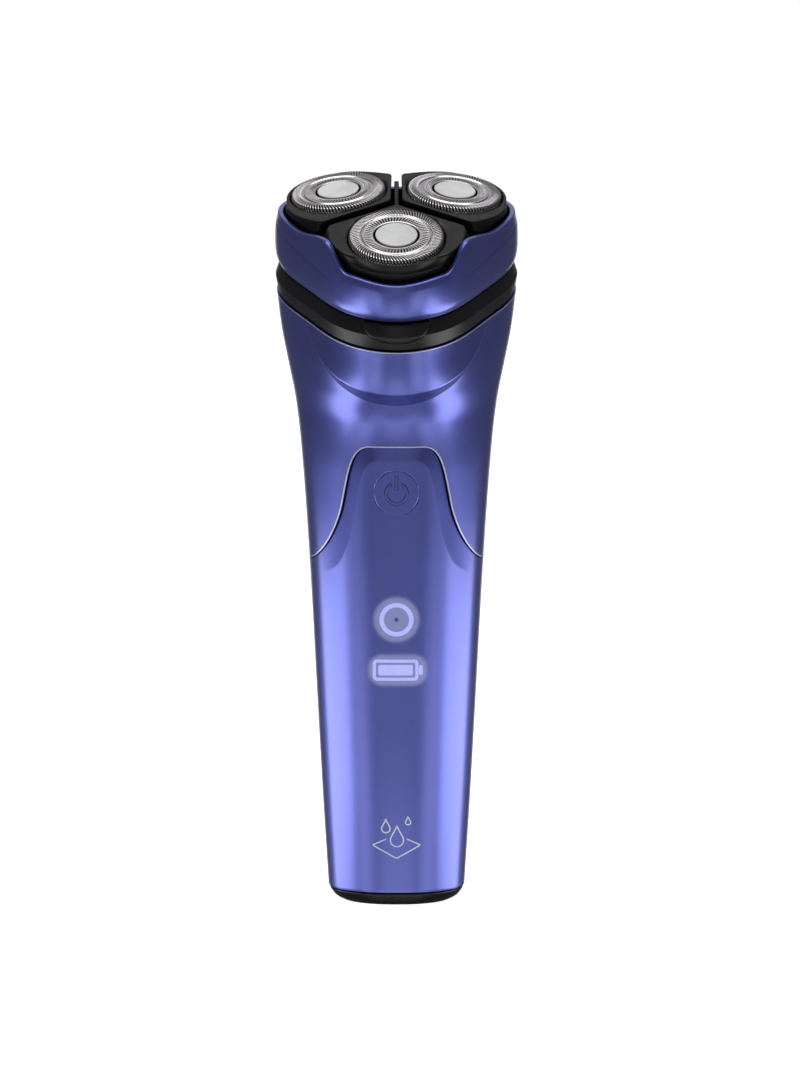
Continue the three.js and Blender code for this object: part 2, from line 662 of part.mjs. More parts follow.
function addDisc(group, side, index) {
  const disc = new THREE.Group();
  disc.position.set(0, -SPINDLE_CIRCLE, SOCKET_HEIGHT);
  disc.rotation.x = DISC_TILT;
  group.add(disc);
  add(disc, `disc_frame_${side}`, petal(index), SATIN_BLACK);
  add(disc, `cutter_retainer_${side}`, tube(4.6, 10.6, -0.7, 0.5, 20), NYLON);
  add(disc, `foil_${side}`, turned([
    [HUB_HOLE, FOIL_TOP - 0.5], [FOIL_RADIUS - 0.6, FOIL_TOP - 0.5], [FOIL_RADIUS - 0.6, 1.9],
    [FOIL_RADIUS, 1.9], [FOIL_RADIUS, FOIL_TOP - 0.7], [FOIL_RADIUS - 0.6, FOIL_TOP],
    [HUB_HOLE, FOIL_TOP], [HUB_HOLE, FOIL_TOP - 0.5]], 32), STEEL);
  add(disc, `hub_cover_${side}`, turned([
    [0, 4.5], [4.6, 4.5], [4.95, FOIL_TOP - 0.1], [4.6, FOIL_TOP + 0.15], [0, FOIL_TOP + 0.2]], 20), WHITE);
  add(disc, `cutter_${side}`, turned([
    [0, 2.6], [2.7, 2.6], [2.7, 0.2], [3.0, -0.6], [3.9, -0.6], [3.9, 2.9], [9.8, 2.9], [9.8, 5.1],
    [6.9, 5.1], [6.9, 3.9], [0, 3.9]], 20), STEEL);
}

addHousing();
addPowerButton();
addBottomCap();
addChassis();
addBoard();
addHousingScrews();
addNeckRing();
addReleaseButton();
addDeck();
addMotor();
addHeadShell();
addHeadFrame();
SIDES.forEach((side, index) => {
  const group = spokeGroup(index);
  addDriveStation(group, side);
  addDisc(group, side, index);
});

export default shaver;
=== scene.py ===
"""Looks of the rotary shaver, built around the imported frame.

Shapes are worked out in millimetres from the same driving dimensions as the CAD part,
and turned into metres when a mesh is made. +Z is up and the front faces -Y.
"""
import json
import math

import bmesh
import bpy
from mathutils import Matrix, Vector

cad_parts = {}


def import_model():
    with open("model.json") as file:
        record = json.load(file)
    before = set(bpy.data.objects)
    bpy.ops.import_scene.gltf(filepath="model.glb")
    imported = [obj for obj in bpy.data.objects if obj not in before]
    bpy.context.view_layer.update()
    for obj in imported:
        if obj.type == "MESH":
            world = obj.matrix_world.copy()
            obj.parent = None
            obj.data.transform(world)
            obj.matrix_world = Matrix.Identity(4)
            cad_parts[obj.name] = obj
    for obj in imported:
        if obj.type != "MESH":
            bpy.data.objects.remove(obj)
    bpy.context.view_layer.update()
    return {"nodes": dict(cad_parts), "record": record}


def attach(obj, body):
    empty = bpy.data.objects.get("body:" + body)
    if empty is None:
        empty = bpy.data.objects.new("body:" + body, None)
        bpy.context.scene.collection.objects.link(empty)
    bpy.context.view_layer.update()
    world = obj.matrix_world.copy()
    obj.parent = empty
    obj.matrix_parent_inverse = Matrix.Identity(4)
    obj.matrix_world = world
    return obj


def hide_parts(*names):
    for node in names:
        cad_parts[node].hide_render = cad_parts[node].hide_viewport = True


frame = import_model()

MM = 0.001

# ---- Driving dimensions, in millimetres ----

SKIN = 0.12  # the fine surfaces lie this far inside the faceted solids
STATIONS = [  # height, half width, depth to the front, depth to the back
    (3.3, 16.2, 13.4, 13.2),
    (24, 17.5, 14.9, 14.6),
    (48, 18.8, 16.1, 15.5),
    (80, 20.5, 17.6, 16.9),
    (106, 22.3, 18.7, 19.0),
    (118, 23.7, 20.6, 20.6),
    (127, 25.4, 24.4, 22.0),
    (134, 26.6, 27.4, 23.0),
    (142, 27.4, 29.97, 24.03),
]
HANDLE_BOTTOM = STATIONS[0][0]
HANDLE_TOP = STATIONS[-1][0]
HANDLE_SQUARENESS = 2.35
ROUNDS_FROM = 90  # above this height the handle's section grows round,
LEANS_FROM = 92  # above this one it leans forward,
LOBES_FROM = 104  # above this one it takes the head's three lobes
SWAYS_FROM = 110  # and above this one it moves forward
SWAY = 0.77
WRAP = 20  # one radian around the handle counts as this much across
LOBE_RADIUS = 27.0
LOBE_SHARE = 0.11
NECK_CENTRE = Vector((0, -3, 148.7))
NECK_TILT = math.radians(18.4)
DRIVE_CENTRE = Vector((0, -2, 148.6))
DRIVE_TILT = math.radians(21)
SPINDLE_CIRCLE = 15.0
SOCKET_HEIGHT = 11.5
DISC_TILT = math.radians(7)
FOIL_RADIUS = 11.1
PETAL_TOP = 5.2
PETAL_BOTTOM = 0.2
PETAL_GAP = 1.15
BUTTON_HEIGHT = 98.5
BUTTON_RADIUS = 5.2
RING_LIGHT_HEIGHT = 68.7
BATTERY_LIGHT_HEIGHT = 56.7
DROP_MARK_HEIGHT = 16.0  # middle of the largest drop
SEAM_ANGLE = math.radians(94.2)  # the panel ends just behind the widest line
GAP = 0.3
PORT_Y, PORT_WIDTH, PORT_DEPTH = 6.0, 9.8, 4.2
HINGE_Y, HINGE_Z, HINGE_RADIUS, HINGE_MIDDLE, HINGE_OUTER = 25.3, 0.15, 1.6, 2.9, 6.4
SIDES = ("front", "right", "left")

NECK = Matrix.Translation(NECK_CENTRE) @ Matrix.Rotation(NECK_TILT, 4, "X")
DRIVE = Matrix.Translation(DRIVE_CENTRE) @ Matrix.Rotation(DRIVE_TILT, 4, "X")


def disc_frame(index):
    turn = Matrix.Rotation(math.radians(120 * index), 4, "Z")
    place = Matrix.Translation((0, -SPINDLE_CIRCLE, SOCKET_HEIGHT))
    return DRIVE @ turn @ place @ Matrix.Rotation(DISC_TILT, 4, "X")


# ---- Shape functions ----

def mix(a, b, t):
    return a + (b - a) * t


def smooth(t):
    t = min(max(t, 0.0), 1.0)
    return t * t * (3 - 2 * t)


def curve(points, at, column=1):
    """A smooth curve through rows of values; the first value of a row is its place."""
    last = len(points) - 1
    i = 0
    while i < last - 1 and points[i + 1][0] <= at:
        i += 1

    def slope(k):
        low, high = points[max(k - 1, 0)], points[min(k + 1, last)]
        return (high[column] - low[column]) / (high[0] - low[0])

    a, b = points[i], points[i + 1]
    span = b[0] - a[0]
    t = (at - a[0]) / span
    value = (2 * t**3 - 3 * t**2 + 1) * a[column] + (t**3 - 2 * t**2 + t) * span * slope(i)
    return value + (-2 * t**3 + 3 * t**2) * b[column] + (t**3 - t**2) * span * slope(i + 1)


def oval_radius(angle, width, front, back, power):
    depth = front if math.cos(angle) > 0 else back
    across = abs(math.sin(angle)) / width
    along = abs(math.cos(angle)) / depth
    return (across**power + along**power) ** (-1 / power)


def head_radius(angle):
    return LOBE_RADIUS * (1 + LOBE_SHARE * math.cos(3 * angle))


COLLAR_REACH = math.radians(62)  # the collar's creases run this far around from the front
COLLAR_SIZE = 1.7  # how far it stands out at the front
COLLAR_UPPER = (129.6, 140.6)  # height of the upper crease at the front and at its ends
COLLAR_BAND = (4.6, 0.7)  # height of the band between the creases, there too


def collar_edges(angle):
    """Heights of the collar's lower and upper crease at an angle from the front."""
    share = min(abs(angle) / COLLAR_REACH, 1.0)
    upper = mix(*COLLAR_UPPER, share**2.2)
    return upper - mix(*COLLAR_BAND, share**1.5), upper


def collar_bump(angle, height):
    lower, upper = collar_edges(angle)
    size = COLLAR_SIZE * (1 - min(abs(angle) / COLLAR_REACH, 1.0) ** 2)
    if size <= 0 or height <= lower:
        return 0.0
    if height < upper:
        return size * (height - lower) / (upper - lower)
    return size * max(0.0, (HANDLE_TOP - height) / (HANDLE_TOP - upper))


def way_up(start, height):
    """Share of the way from a height to the handle's top."""
    return (height - start) / (HANDLE_TOP - start)


def lean(height):
    return NECK_TILT * smooth(way_up(LEANS_FROM, height))


def handle_radius(angle, height):
    top = STATIONS[-1]
    ratio = head_radius(angle) / oval_radius(angle, top[1], top[2], top[3], 2)
    share = smooth(way_up(LOBES_FROM, height))
    power = mix(HANDLE_SQUARENESS, 2, smooth(way_up(ROUNDS_FROM, height)))
    widths = [curve(STATIONS, height, column) for column in (1, 2, 3)]
    return oval_radius(angle, *widths, power) * (1 + share * (ratio - 1)) + collar_bump(angle, height)


def handle_point(angle, height, inset=SKIN):
    """A point of the handle's surface; the sections above LEANS_FROM are tilted."""
    tilt = lean(height)
    shift = -SWAY * max(0.0, way_up(SWAYS_FROM, height)) ** 2
    radius = handle_radius(angle, height) - inset
    y = -radius * math.cos(angle)
    return Vector((radius * math.sin(angle), shift + y * math.cos(tilt), height + y * math.sin(tilt)))


def on_front(x, z, first_radius=21, steps=25):
    """Angle and height parameter of the point of the handle's front seen at x, z."""
    angle = math.asin(max(-1, min(1, x / first_radius)))
    height = z
    for _ in range(steps):
        radius = handle_radius(angle, height) - SKIN
        angle = math.asin(max(-0.999, min(0.999, x / radius)))
        height = z + radius * math.cos(angle) * math.sin(lean(height))
    return angle, height


def front_point(x, z, raise_by=0.0):
    angle, height = on_front(x, z)
    return handle_point(angle, height, SKIN - raise_by)


def bezier(a, b, c, d, count):
    points = []
    for k in range(count):
        t = k / count
        s = 1 - t
        weights = (s**3, 3 * s * s * t, 3 * s * t * t, t**3)
        points.append(tuple(sum(w * p[i] for w, p in zip(weights, (a, b, c, d))) for i in (0, 1)))
    return points


def spread(points, count):
    """The given number of points, evenly spaced along a polyline."""
    lengths = [0.0]
    for a, b in zip(points, points[1:]):
        lengths.append(lengths[-1] + math.dist(a, b))
    result, i = [], 0
    for k in range(count):
        target = lengths[-1] * k / (count - 1)
        while i < len(points) - 2 and lengths[i + 1] < target:
            i += 1
        t = (target - lengths[i]) / max(lengths[i + 1] - lengths[i], 1e-9)
        result.append(tuple(mix(p, q, t) for p, q in zip(points[i], points[i + 1])))
    return result


ARCH_TOP = 109.3
ARCH_BEND = (12.6, 96)  # (x, z) where the arch turns from its crown into its flank
ARCH_FOOT = (20.0, 81.7)
ARCH_SEAM = 81.2  # height where it meets the side seam
ARCH_HALF_WIDTH = 18


def arch_curve(count, margin):
    """The arch between panel and housing as (angle, height), from left to right."""
    crown = bezier((6.2, ARCH_TOP), (10.6, ARCH_TOP), (11.2, 103.5), ARCH_BEND, 24)
    flank = bezier(ARCH_BEND, (13.6, 90.5), (16.6, 84.2), ARCH_FOOT, 24)
    half = [(0.0, ARCH_TOP)] + crown + flank + [ARCH_FOOT]
    flat = [on_front(x, z) for x, z in half] + [(SEAM_ANGLE, ARCH_SEAM)]
    shrink = 1 - margin / ARCH_HALF_WIDTH
    scaled = [(angle * WRAP * shrink, height - margin) for angle, height in flat]
    line = spread([(-a, h) for a, h in reversed(scaled)] + scaled[1:], count)
    return [(a / WRAP, h) for a, h in line]


def turned(radius, angle, z):
    """A point around the axis; angle 0 faces the front."""
    return (radius * math.sin(angle), -radius * math.cos(angle), z)


def turns(count):
    return [2 * math.pi * k / count for k in range(count)]


# ---- Mesh helpers ----

def new_object(name, points, faces, place=Matrix.Identity(4)):
    mesh = bpy.data.meshes.new(name)
    mesh.from_pydata([(place @ Vector(p)) * MM for p in points], [], faces)
    mesh.validate()
    obj = bpy.data.objects.new(name, mesh)
    bpy.context.scene.collection.objects.link(obj)
    return obj


def tidy_mesh(obj, merge=0.0, centre=None):
    """Merges doubles and turns the faces outward: away from the centre on an open surface."""
    bm = bmesh.new()
    bm.from_mesh(obj.data)
    if merge:
        bmesh.ops.remove_doubles(bm, verts=bm.verts, dist=merge * MM)
    bmesh.ops.recalc_face_normals(bm, faces=bm.faces)
    if centre is not None:
        middle = Vector(centre) * MM
        total = sum(f.normal.dot(f.calc_center_median() - middle) * f.calc_area() for f in bm.faces)
        if total < 0:
            bmesh.ops.reverse_faces(bm, faces=bm.faces)
    bm.to_mesh(obj.data)
    bm.free()
    for polygon in obj.data.polygons:
        polygon.use_smooth = True
    return obj


def grid(name, rows, place=Matrix.Identity(4), round_columns=False, round_rows=False, skip=None):
    count = len(rows[0])
    points = [p for row in rows for p in row]
    faces = []
    for r in range(len(rows) if round_rows else len(rows) - 1):
        for c in range(count if round_columns else count - 1):
            if skip and skip(r, c):
                continue
            low, high = r * count, (r + 1) % len(rows) * count
            faces.append((low + c, low + (c + 1) % count, high + (c + 1) % count, high + c))
    return new_object(name, points, faces, place)


def capped(name, rows, place=Matrix.Identity(4)):
    """A solid from closed loops, with a face over each end."""
    obj = grid(name, rows, place, round_columns=True)
    bm = bmesh.new()
    bm.from_mesh(obj.data)
    bmesh.ops.holes_fill(bm, edges=[e for e in bm.edges if e.is_boundary], sides=0)
    bm.to_mesh(obj.data)
    bm.free()
    return tidy_mesh(obj)


def ring_surface(name, rows, place=Matrix.Identity(4)):
    """A closed surface from loops around an opening; the last loop joins the first one."""
    return tidy_mesh(grid(name, rows, place, round_columns=True, round_rows=True))


def lathe(name, profile, place, columns):
    """A solid turned around its axis; the profile of (radius, height) starts and ends on it."""
    rows = [[turned(radius, turn, z) for turn in turns(columns)] for radius, z in profile]
    return capped(name, rows, place)


def add_modifier(obj, kind, **settings):
    modifier = obj.modifiers.new(kind.lower(), kind)
    for key, value in settings.items():
        setattr(modifier, key, value)
    return modifier


def thicken(obj, thickness):
    add_modifier(obj, "SOLIDIFY", thickness=thickness * MM, offset=-1, use_even_offset=True)


def soften(obj, width, segments=3, angle=50):
    add_modifier(obj, "BEVEL", width=width * MM, segments=segments, limit_method="ANGLE",
                 angle_limit=math.radians(angle), use_clamp_overlap=True)


def even_normals(obj):
    add_modifier(obj, "WEIGHTED_NORMAL", keep_sharp=True, weight=80)


def apply_modifiers(obj):
    graph = bpy.context.evaluated_depsgraph_get()
    mesh = bpy.data.meshes.new_from_object(obj.evaluated_get(graph))
    obj.modifiers.clear()
    obj.data = mesh
    return obj


def cut_away(obj, tool):
    """Cuts the tool's solid out of the object and removes the tool."""
    add_modifier(obj, "BOOLEAN", object=tool, operation="DIFFERENCE", solver="EXACT")
    apply_modifiers(obj)
    bpy.data.objects.remove(tool)
    return obj


def joined(first, *others):
    """Moves the other objects' meshes into the first one."""
    bm = bmesh.new()
    for obj in (first, *others):
        bm.from_mesh(obj.data)
    bm.to_mesh(first.data)
    bm.free()
    for obj in others:
        bpy.data.objects.remove(obj)
    return first


def rectangle(left, right, low, high):
    return [(left, low), (right, low), (right, high), (left, high)]


def finish_piece(obj, body, slot, look, *nodes):
    obj.data.materials.clear()
    obj.data.materials.append(LOOKS[look])
    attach(obj, body)
    if nodes:
        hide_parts(*nodes)
    return obj


# ---- Materials ----

GRAIN_DEPTH = 0.00002  # in metres


def shader(name, base, roughness, metallic=0.0, **sockets):
    """A material with its Principled shader; the uniform values go straight on the sockets."""
    material = bpy.data.materials.new(name)
    material.use_nodes = True
    node = material.node_tree.nodes["Principled BSDF"]
    node.inputs["Base Color"].default_value = (*base, 1)
    node.inputs["Roughness"].default_value = roughness
    node.inputs["Metallic"].default_value = metallic
    for key, value in sockets.items():
        node.inputs[key.replace("_", " ")].default_value = value
    return material, material.node_tree, node


def add_node(tree, kind, inputs, **settings):
    """Adds a shader node; each input is a value or another node's output."""
    node = tree.nodes.new("ShaderNode" + kind)
    for key, value in settings.items():
        setattr(node, key, value)
    for key, value in inputs.items():
        if isinstance(value, bpy.types.NodeSocket):
            tree.links.new(value, node.inputs[key])
        else:
            node.inputs[key].default_value = value
    return node


def object_place(tree):
    return add_node(tree, "TexCoord", {}).outputs["Object"]


def noise(tree, scale, detail=3.0, stretch=None):
    """Noise over the object's own coordinates, in features per metre."""
    place = object_place(tree)
    if stretch:
        place = add_node(tree, "Mapping", {"Vector": place, "Scale": stretch}).outputs["Vector"]
    return add_node(tree, "TexNoise", {"Vector": place, "Scale": scale, "Detail": detail}).outputs["Fac"]


def ranged(tree, source, low, high, from_low=0.3, from_high=0.7, **settings):
    inputs = {"Value": source, "From Min": from_low, "From Max": from_high, "To Min": low, "To Max": high}
    return add_node(tree, "MapRange", inputs, **settings).outputs["Result"]


def tint(tree, source, dark, light):
    node = add_node(tree, "ValToRGB", {"Fac": source})
    for element, position, color in zip(node.color_ramp.elements, (0.35, 0.65), (dark, light)):
        element.position = position
        element.color = (*color, 1)
    return node.outputs["Color"]


def bump(tree, node, source, strength, distance):
    relief = add_node(tree, "Bump", {"Height": source, "Strength": strength, "Distance": distance})
    tree.links.new(relief.outputs["Normal"], node.inputs["Normal"])


def scaled(color, factor):
    return tuple(min(1.0, c * factor) for c in color)


def vary(tree, node, base, dark, light, color_by, roughness, spread_by, roughness_by):
    """Lets noise move the colour and the roughness a little."""
    color = tint(tree, color_by, scaled(base, dark), scaled(base, light))
    tree.links.new(color, node.inputs["Base Color"])
    uneven = ranged(tree, roughness_by, roughness - spread_by, roughness + spread_by)
    tree.links.new(uneven, node.inputs["Roughness"])


def grained(name, base, roughness, grain=9000, spread_by=0.06, metallic=0.0, specular=0.5):
    """Moulded or machined surface: slight colour drift, uneven roughness and a fine grain."""
    material, tree, node = shader(name, base, roughness, metallic, Specular_IOR_Level=specular)
    vary(tree, node, base, 0.9, 1.1, noise(tree, 160, 4), roughness, spread_by, noise(tree, 420, 5))
    bump(tree, node, noise(tree, grain, 2), 0.35, GRAIN_DEPTH)
    return material


def polished(name, base, roughness):
    """Thin steel with an even, slightly uneven polish."""
    material, tree, node = shader(name, base, roughness, 1.0)
    fine = noise(tree, 3000, 2)
    vary(tree, node, base, 0.93, 1.07, fine, roughness, 0.04, fine)
    return material


def brushed(name, base, roughness, stretch):
    """Steel with fine lines along one direction."""
    material, tree, node = shader(name, base, roughness, 1.0)
    lines = noise(tree, 260, 3, stretch)
    vary(tree, node, base, 0.88, 1.08, lines, roughness, 0.07, lines)
    bump(tree, node, lines, 0.25, GRAIN_DEPTH)
    return material


BLUE = (0.128, 0.152, 0.56)
ICON_WHITE = (0.82, 0.86, 1.0)


def lacquer(name, glow_spots=()):
    """Metallic lacquer: fine flakes under a clear coat. Light bleeds around the lit marks."""
    material, tree, node = shader(name, BLUE, 0.34, 0.85, Coat_Weight=0.8, Coat_Roughness=0.22)
    flakes = noise(tree, 14000, 1)
    parts = {0: noise(tree, 60, 3), 1: 0.25, 2: ranged(tree, flakes, 0.25, 0.5)}
    mixed = add_node(tree, "Math", parts, operation="MULTIPLY_ADD").outputs[0]
    color = tint(tree, mixed, scaled(BLUE, 0.9), scaled(BLUE, 1.12))
    tree.links.new(color, node.inputs["Base Color"])
    tree.links.new(ranged(tree, flakes, 0.3, 0.38), node.inputs["Roughness"])
    bump(tree, node, flakes, 0.08, GRAIN_DEPTH / 2)
    for spot in glow_spots:
        add_glow(tree, node, *spot)
    return material


ZERO = (0, 0, 0)
GLOW_STRENGTH = 0.2
GLOW_COLOR = (0.8, 0.82, 1.0, 1)


def add_glow(tree, node, centre, half, start, end):
    """Emission that fades with the distance from a box around a lit mark."""
    value = object_place(tree)
    for operation, by in (("SUBTRACT", centre), ("ABSOLUTE", ZERO), ("SUBTRACT", half), ("MAXIMUM", ZERO)):
        inputs = {0: value, 1: [number * MM for number in by]}
        value = add_node(tree, "VectorMath", inputs, operation=operation).outputs["Vector"]
    distance = add_node(tree, "VectorMath", {0: value}, operation="LENGTH").outputs["Value"]
    glow = ranged(tree, distance, GLOW_STRENGTH, 0.0, start * MM, end * MM, interpolation_type="SMOOTHERSTEP")
    socket = node.inputs["Emission Strength"]
    if socket.is_linked:
        inputs = {0: socket.links[0].from_socket, 1: glow}
        glow = add_node(tree, "Math", inputs, operation="MAXIMUM").outputs[0]
    tree.links.new(glow, socket)
    node.inputs["Emission Color"].default_value = GLOW_COLOR


def lit(name, color, strength):
    material, tree, node = shader(name, scaled(color, 0.3), 0.5)
    node.inputs["Emission Color"].default_value = (*color, 1)
    glow = ranged(tree, noise(tree, 500, 2), strength * 0.96, strength * 1.04)
    tree.links.new(glow, node.inputs["Emission Strength"])
    return material


def make_materials():
    halos = [((0, -17, RING_LIGHT_HEIGHT), (0, 6, 0), 4.5, 6.1),
             ((0.3, -16, BATTERY_LIGHT_HEIGHT), (3.6, 6, 0.5), 2.3, 4.0)]
    return {
        "shell": lacquer("shell_lacquer"),
        "panel": lacquer("panel_lacquer", halos),
        "ring": grained("ring_plastic", (0.009, 0.008, 0.009), 0.34, spread_by=0.02, specular=0.42),
        "cap": grained("cap_plastic", (0.006, 0.006, 0.007), 0.3, specular=0.4),
        "petal": grained("petal_plastic", (0.009, 0.0075, 0.0075), 0.38, grain=12000, specular=0.35),
        "key": grained("key_plastic", (0.008, 0.007, 0.008), 0.3, spread_by=0.02, specular=0.45),
        "foil": polished("foil_steel", (0.72, 0.69, 0.7), 0.22),
        # the cutters' steel is darkened to near black: painted shade under the foils
        "blade": brushed("shaded_blade_steel", (0.05, 0.048, 0.048), 0.4, (12, 1, 1)),
        "hub": grained("hub_plastic", (0.86, 0.87, 0.85), 0.5, grain=7000),
        "mark": grained("mark_print", ICON_WHITE, 0.45),
        # dark outline of the power sign: painted shade along its engraved edges
        "sign_shade": grained("painted_sign_shade", (0.012, 0.014, 0.06), 0.45),
        # pale metallic strips that paint the highlights on the housing's rounded edges
        "edge": grained("edge_highlight_paint", (0.75, 0.74, 0.86), 0.42, metallic=0.8),
        "glow": lit("lit_mark", (0.42, 0.45, 0.92), 0.9),
    }


LOOKS = make_materials()


def frame_materials():
    """A procedural material for every node that stays as it is."""
    by_slot = {
        "blue_metallic": lacquer("frame_lacquer"),
        "black_gloss": grained("frame_black", (0.02, 0.02, 0.022), 0.35),
        "black_satin": grained("frame_satin", (0.022, 0.02, 0.02), 0.45),
        "foil_steel": brushed("frame_foil", (0.7, 0.69, 0.68), 0.25, (1, 1, 10)),
        "steel": brushed("frame_steel", (0.56, 0.56, 0.58), 0.28, (1, 1, 12)),
        "white_cap": grained("frame_white", (0.8, 0.8, 0.78), 0.45),
        "rubber": grained("frame_rubber", (0.014, 0.014, 0.015), 0.75, grain=5000),
        "nylon": grained("frame_nylon", (0.62, 0.59, 0.5), 0.5),
        "battery_wrap": grained("frame_wrap", (0.03, 0.11, 0.32), 0.4),
        "board_green": grained("frame_board", (0.01, 0.10, 0.035), 0.5),
        "light_guide": grained("frame_guide", (0.7, 0.75, 0.95), 0.3),
    }
    slot_of = {row["node"]: row["material_slot"] for row in frame["record"]["subparts"]}
    for name, node in frame["nodes"].items():
        node.data.materials.clear()
        node.data.materials.append(by_slot[slot_of[name]])


# ---- Handle ----

ROWS_LOW = 90  # rows from the bottom edge to the arch's ends
UPPER_ROWS = (  # share of the way around where each stretch starts and ends, rows
    (0.0, 0.7, 64),  # from the arch to the collar's lower crease
    (0.7, 0.8, 12),  # between the creases
    (0.8, 1.0, 24),  # from the upper crease to the top
)


def upper_column(foot, seam_angle):
    """Points of one column above the arch, with rows along both collar creases."""
    angle, height = foot
    path = []
    for stretch, (start, end, rows) in enumerate(UPPER_ROWS):
        is_last = stretch == len(UPPER_ROWS) - 1
        for k in range(rows + is_last):
            here = mix(angle, seam_angle, smooth(mix(start, end, k / rows)))
            lower, upper = collar_edges(here)
            low, high = ((height, lower), (lower, upper), (upper, HANDLE_TOP))[stretch]
            path.append((here, mix(low, high, k / rows)))
    return path


def housing_mesh():
    arch = arch_curve(161, 0.0)
    columns = []
    for k, foot in enumerate(arch):
        columns.append(upper_column(foot, SEAM_ANGLE * mix(-1, 1, k / (len(arch) - 1))))
    rows = [[handle_point(*column[r]) for column in columns] for r in range(len(columns[0]))]
    upper = grid("housing_upper", rows)
    heights = [mix(HANDLE_BOTTOM, arch[-1][1], k / ROWS_LOW) for k in range(ROWS_LOW + 1)]
    heights += [height for _, height in columns[-1]][1:]
    back = []
    for height in heights:
        angles = [mix(SEAM_ANGLE, 2 * math.pi - SEAM_ANGLE, k / 150) for k in range(151)]
        back.append([handle_point(angle, height) for angle in angles])
    rear = grid("rear_cover", back)
    return tidy_mesh(joined(rear, upper), merge=0.02, centre=(0, 0, 75))


def rear_housing():
    obj = housing_mesh()
    thicken(obj, 1.5)
    soften(obj, 0.34, 4)
    even_normals(obj)
    finish_piece(obj, "handle", "blue_metallic", "shell", "rear_housing")


FACET_WIDTH = 3.8  # a sunk facet runs inside the arch
FACET_DEPTH = 0.75
FACET_START = 0.92
FACET_REACH = 1.05  # it fades out towards the arch's ends
SEAM_GAP = 0.012  # half of the gap at the side seam, in radians


def panel_mesh():
    arch = arch_curve(161, 0.2)
    inner = arch_curve(161, FACET_WIDTH)
    shares = [k / 150 * FACET_START for k in range(150)]
    shares += [mix(FACET_START, 1, k / 24) for k in range(25)]
    rows = [[panel_point(share, inner[k], arch[k], 2 * k / (len(arch) - 1) - 1) for k in range(len(arch))]
            for share in shares]
    return tidy_mesh(grid("panel_cover", rows), centre=(0, 5, 55))


def panel_point(share, inner, outer, side):
    """A point of one column of the panel, at a share of its way up to the arch."""
    facet_angle = mix(inner[0], outer[0], smooth((abs(side) - 0.7) / 0.3))
    if share < FACET_START:
        low = share / FACET_START
        angle = mix((SEAM_ANGLE - SEAM_GAP) * side, facet_angle, smooth(low))
        return handle_point(angle, mix(HANDLE_BOTTOM, inner[1], low), SKIN)
    low = (share - FACET_START) / (1 - FACET_START)
    angle = mix(facet_angle, outer[0], low)
    sunk = FACET_DEPTH * low * smooth((FACET_REACH - abs(angle)) / 0.45)
    return handle_point(angle, mix(inner[1], outer[1], low), SKIN + sunk)


def front_panel():
    obj = panel_mesh()
    thicken(obj, 1.5)
    soften(obj, 0.25)
    across = Matrix.Translation((0, 0, BUTTON_HEIGHT)) @ Matrix.Rotation(math.pi / 2, 4, "X")
    hole = BUTTON_RADIUS + 0.02
    tool = lathe("button_hole", [(0, 8), (hole, 8), (hole, 30), (0, 30)], across, 96)
    cut_away(obj, tool)
    even_normals(obj)
    finish_piece(obj, "handle", "blue_metallic", "panel", "front_panel")


KEY_RINGS = [0.0, 1.2, 2.4, 3.6, 4.6, 5.0, BUTTON_RADIUS - 0.01]
KEY_SKIRT = 1.5


def power_button():
    """A round key whose face follows the panel, with a skirt behind its edge."""
    rows = []
    for radius, drop in [(r, 0) for r in KEY_RINGS] + [(KEY_RINGS[-1], KEY_SKIRT)]:
        row = []
        for turn in turns(72):
            x, z = radius * math.cos(turn), BUTTON_HEIGHT + radius * math.sin(turn)
            row.append(front_point(x, z) + Vector((0, drop, 0)))
        rows.append(row)
    centre = (0, 5, BUTTON_HEIGHT)
    obj = tidy_mesh(grid("power_key", rows, round_columns=True), merge=0.001, centre=centre)
    finish_piece(obj, "power_key", "blue_metallic", "shell", "power_button")


# ---- Marks on the panel ----

MARK_ROOT = -0.1  # the marks reach this far into the surface


def mirrored(half):
    """A symmetric section of (across, lift) from its half, given from the edge inwards."""
    return [(-across, lift) for across, lift in half] + half[::-1]


def stroke(name, line, width, depth=0.05, closed=False, to_point=front_point):
    """A thin raised band along a line; to_point gives the surface point for a place and a lift."""
    rows = []
    count = len(line)
    section = mirrored([(1, MARK_ROOT), (1, depth * 0.6), (0.8, depth)])
    for k, (x, z) in enumerate(line):
        before = line[k - 1] if closed or k else line[k]
        after = line[(k + 1) % count] if closed or k < count - 1 else line[k]
        along = Vector((after[0] - before[0], after[1] - before[1])).normalized()
        across = Vector((-along.y, along.x)) * width / 2
        rows.append([to_point(x + across.x * share, z + across.y * share, lift) for share, lift in section])
    if closed:
        return ring_surface(name, rows)
    return capped(name, rows)


def side_point(across, height, lift):
    """Surface point at a distance across, measured around the handle, and a height."""
    return handle_point(across / WRAP, height, SKIN - lift)


def painted_edge_highlights():
    """Painted highlights on the housing's edges: pale metallic strips around the arch and below the neck
    ring.
    """
    arch = [(angle * WRAP, height) for angle, height in arch_curve(240, -0.16)]
    obj = stroke("arch_edge", arch, 0.34, 0.035, to_point=side_point)
    finish_piece(obj, "handle", "blue_metallic", "edge")
    section = mirrored([(0.13, MARK_ROOT), (0.13, 0.02), (0.08, 0.04)])
    height = HANDLE_TOP - 0.22
    rows = []
    for k in range(240):
        across = math.pi * WRAP * (k / 120 - 1)
        rows.append([side_point(across, height + rise, lift) for rise, lift in section])
    obj = ring_surface("neck_edge", rows)
    finish_piece(obj, "handle", "blue_metallic", "edge")


def arc_line(cx, cz, radius, start, end, count):
    angles = [math.radians(mix(start, end, k / (count - 1))) for k in range(count)]
    return [(cx + radius * math.cos(a), cz + radius * math.sin(a)) for a in angles]


def rounded_box(cx, cz, width, height, radius):
    line = []
    for sx, sz, start in ((1, 1, 0), (-1, 1, 90), (-1, -1, 180), (1, -1, 270)):
        line += arc_line(cx + sx * (width / 2 - radius), cz + sz * (height / 2 - radius), radius,
                         start, start + 90, 8)
    return line


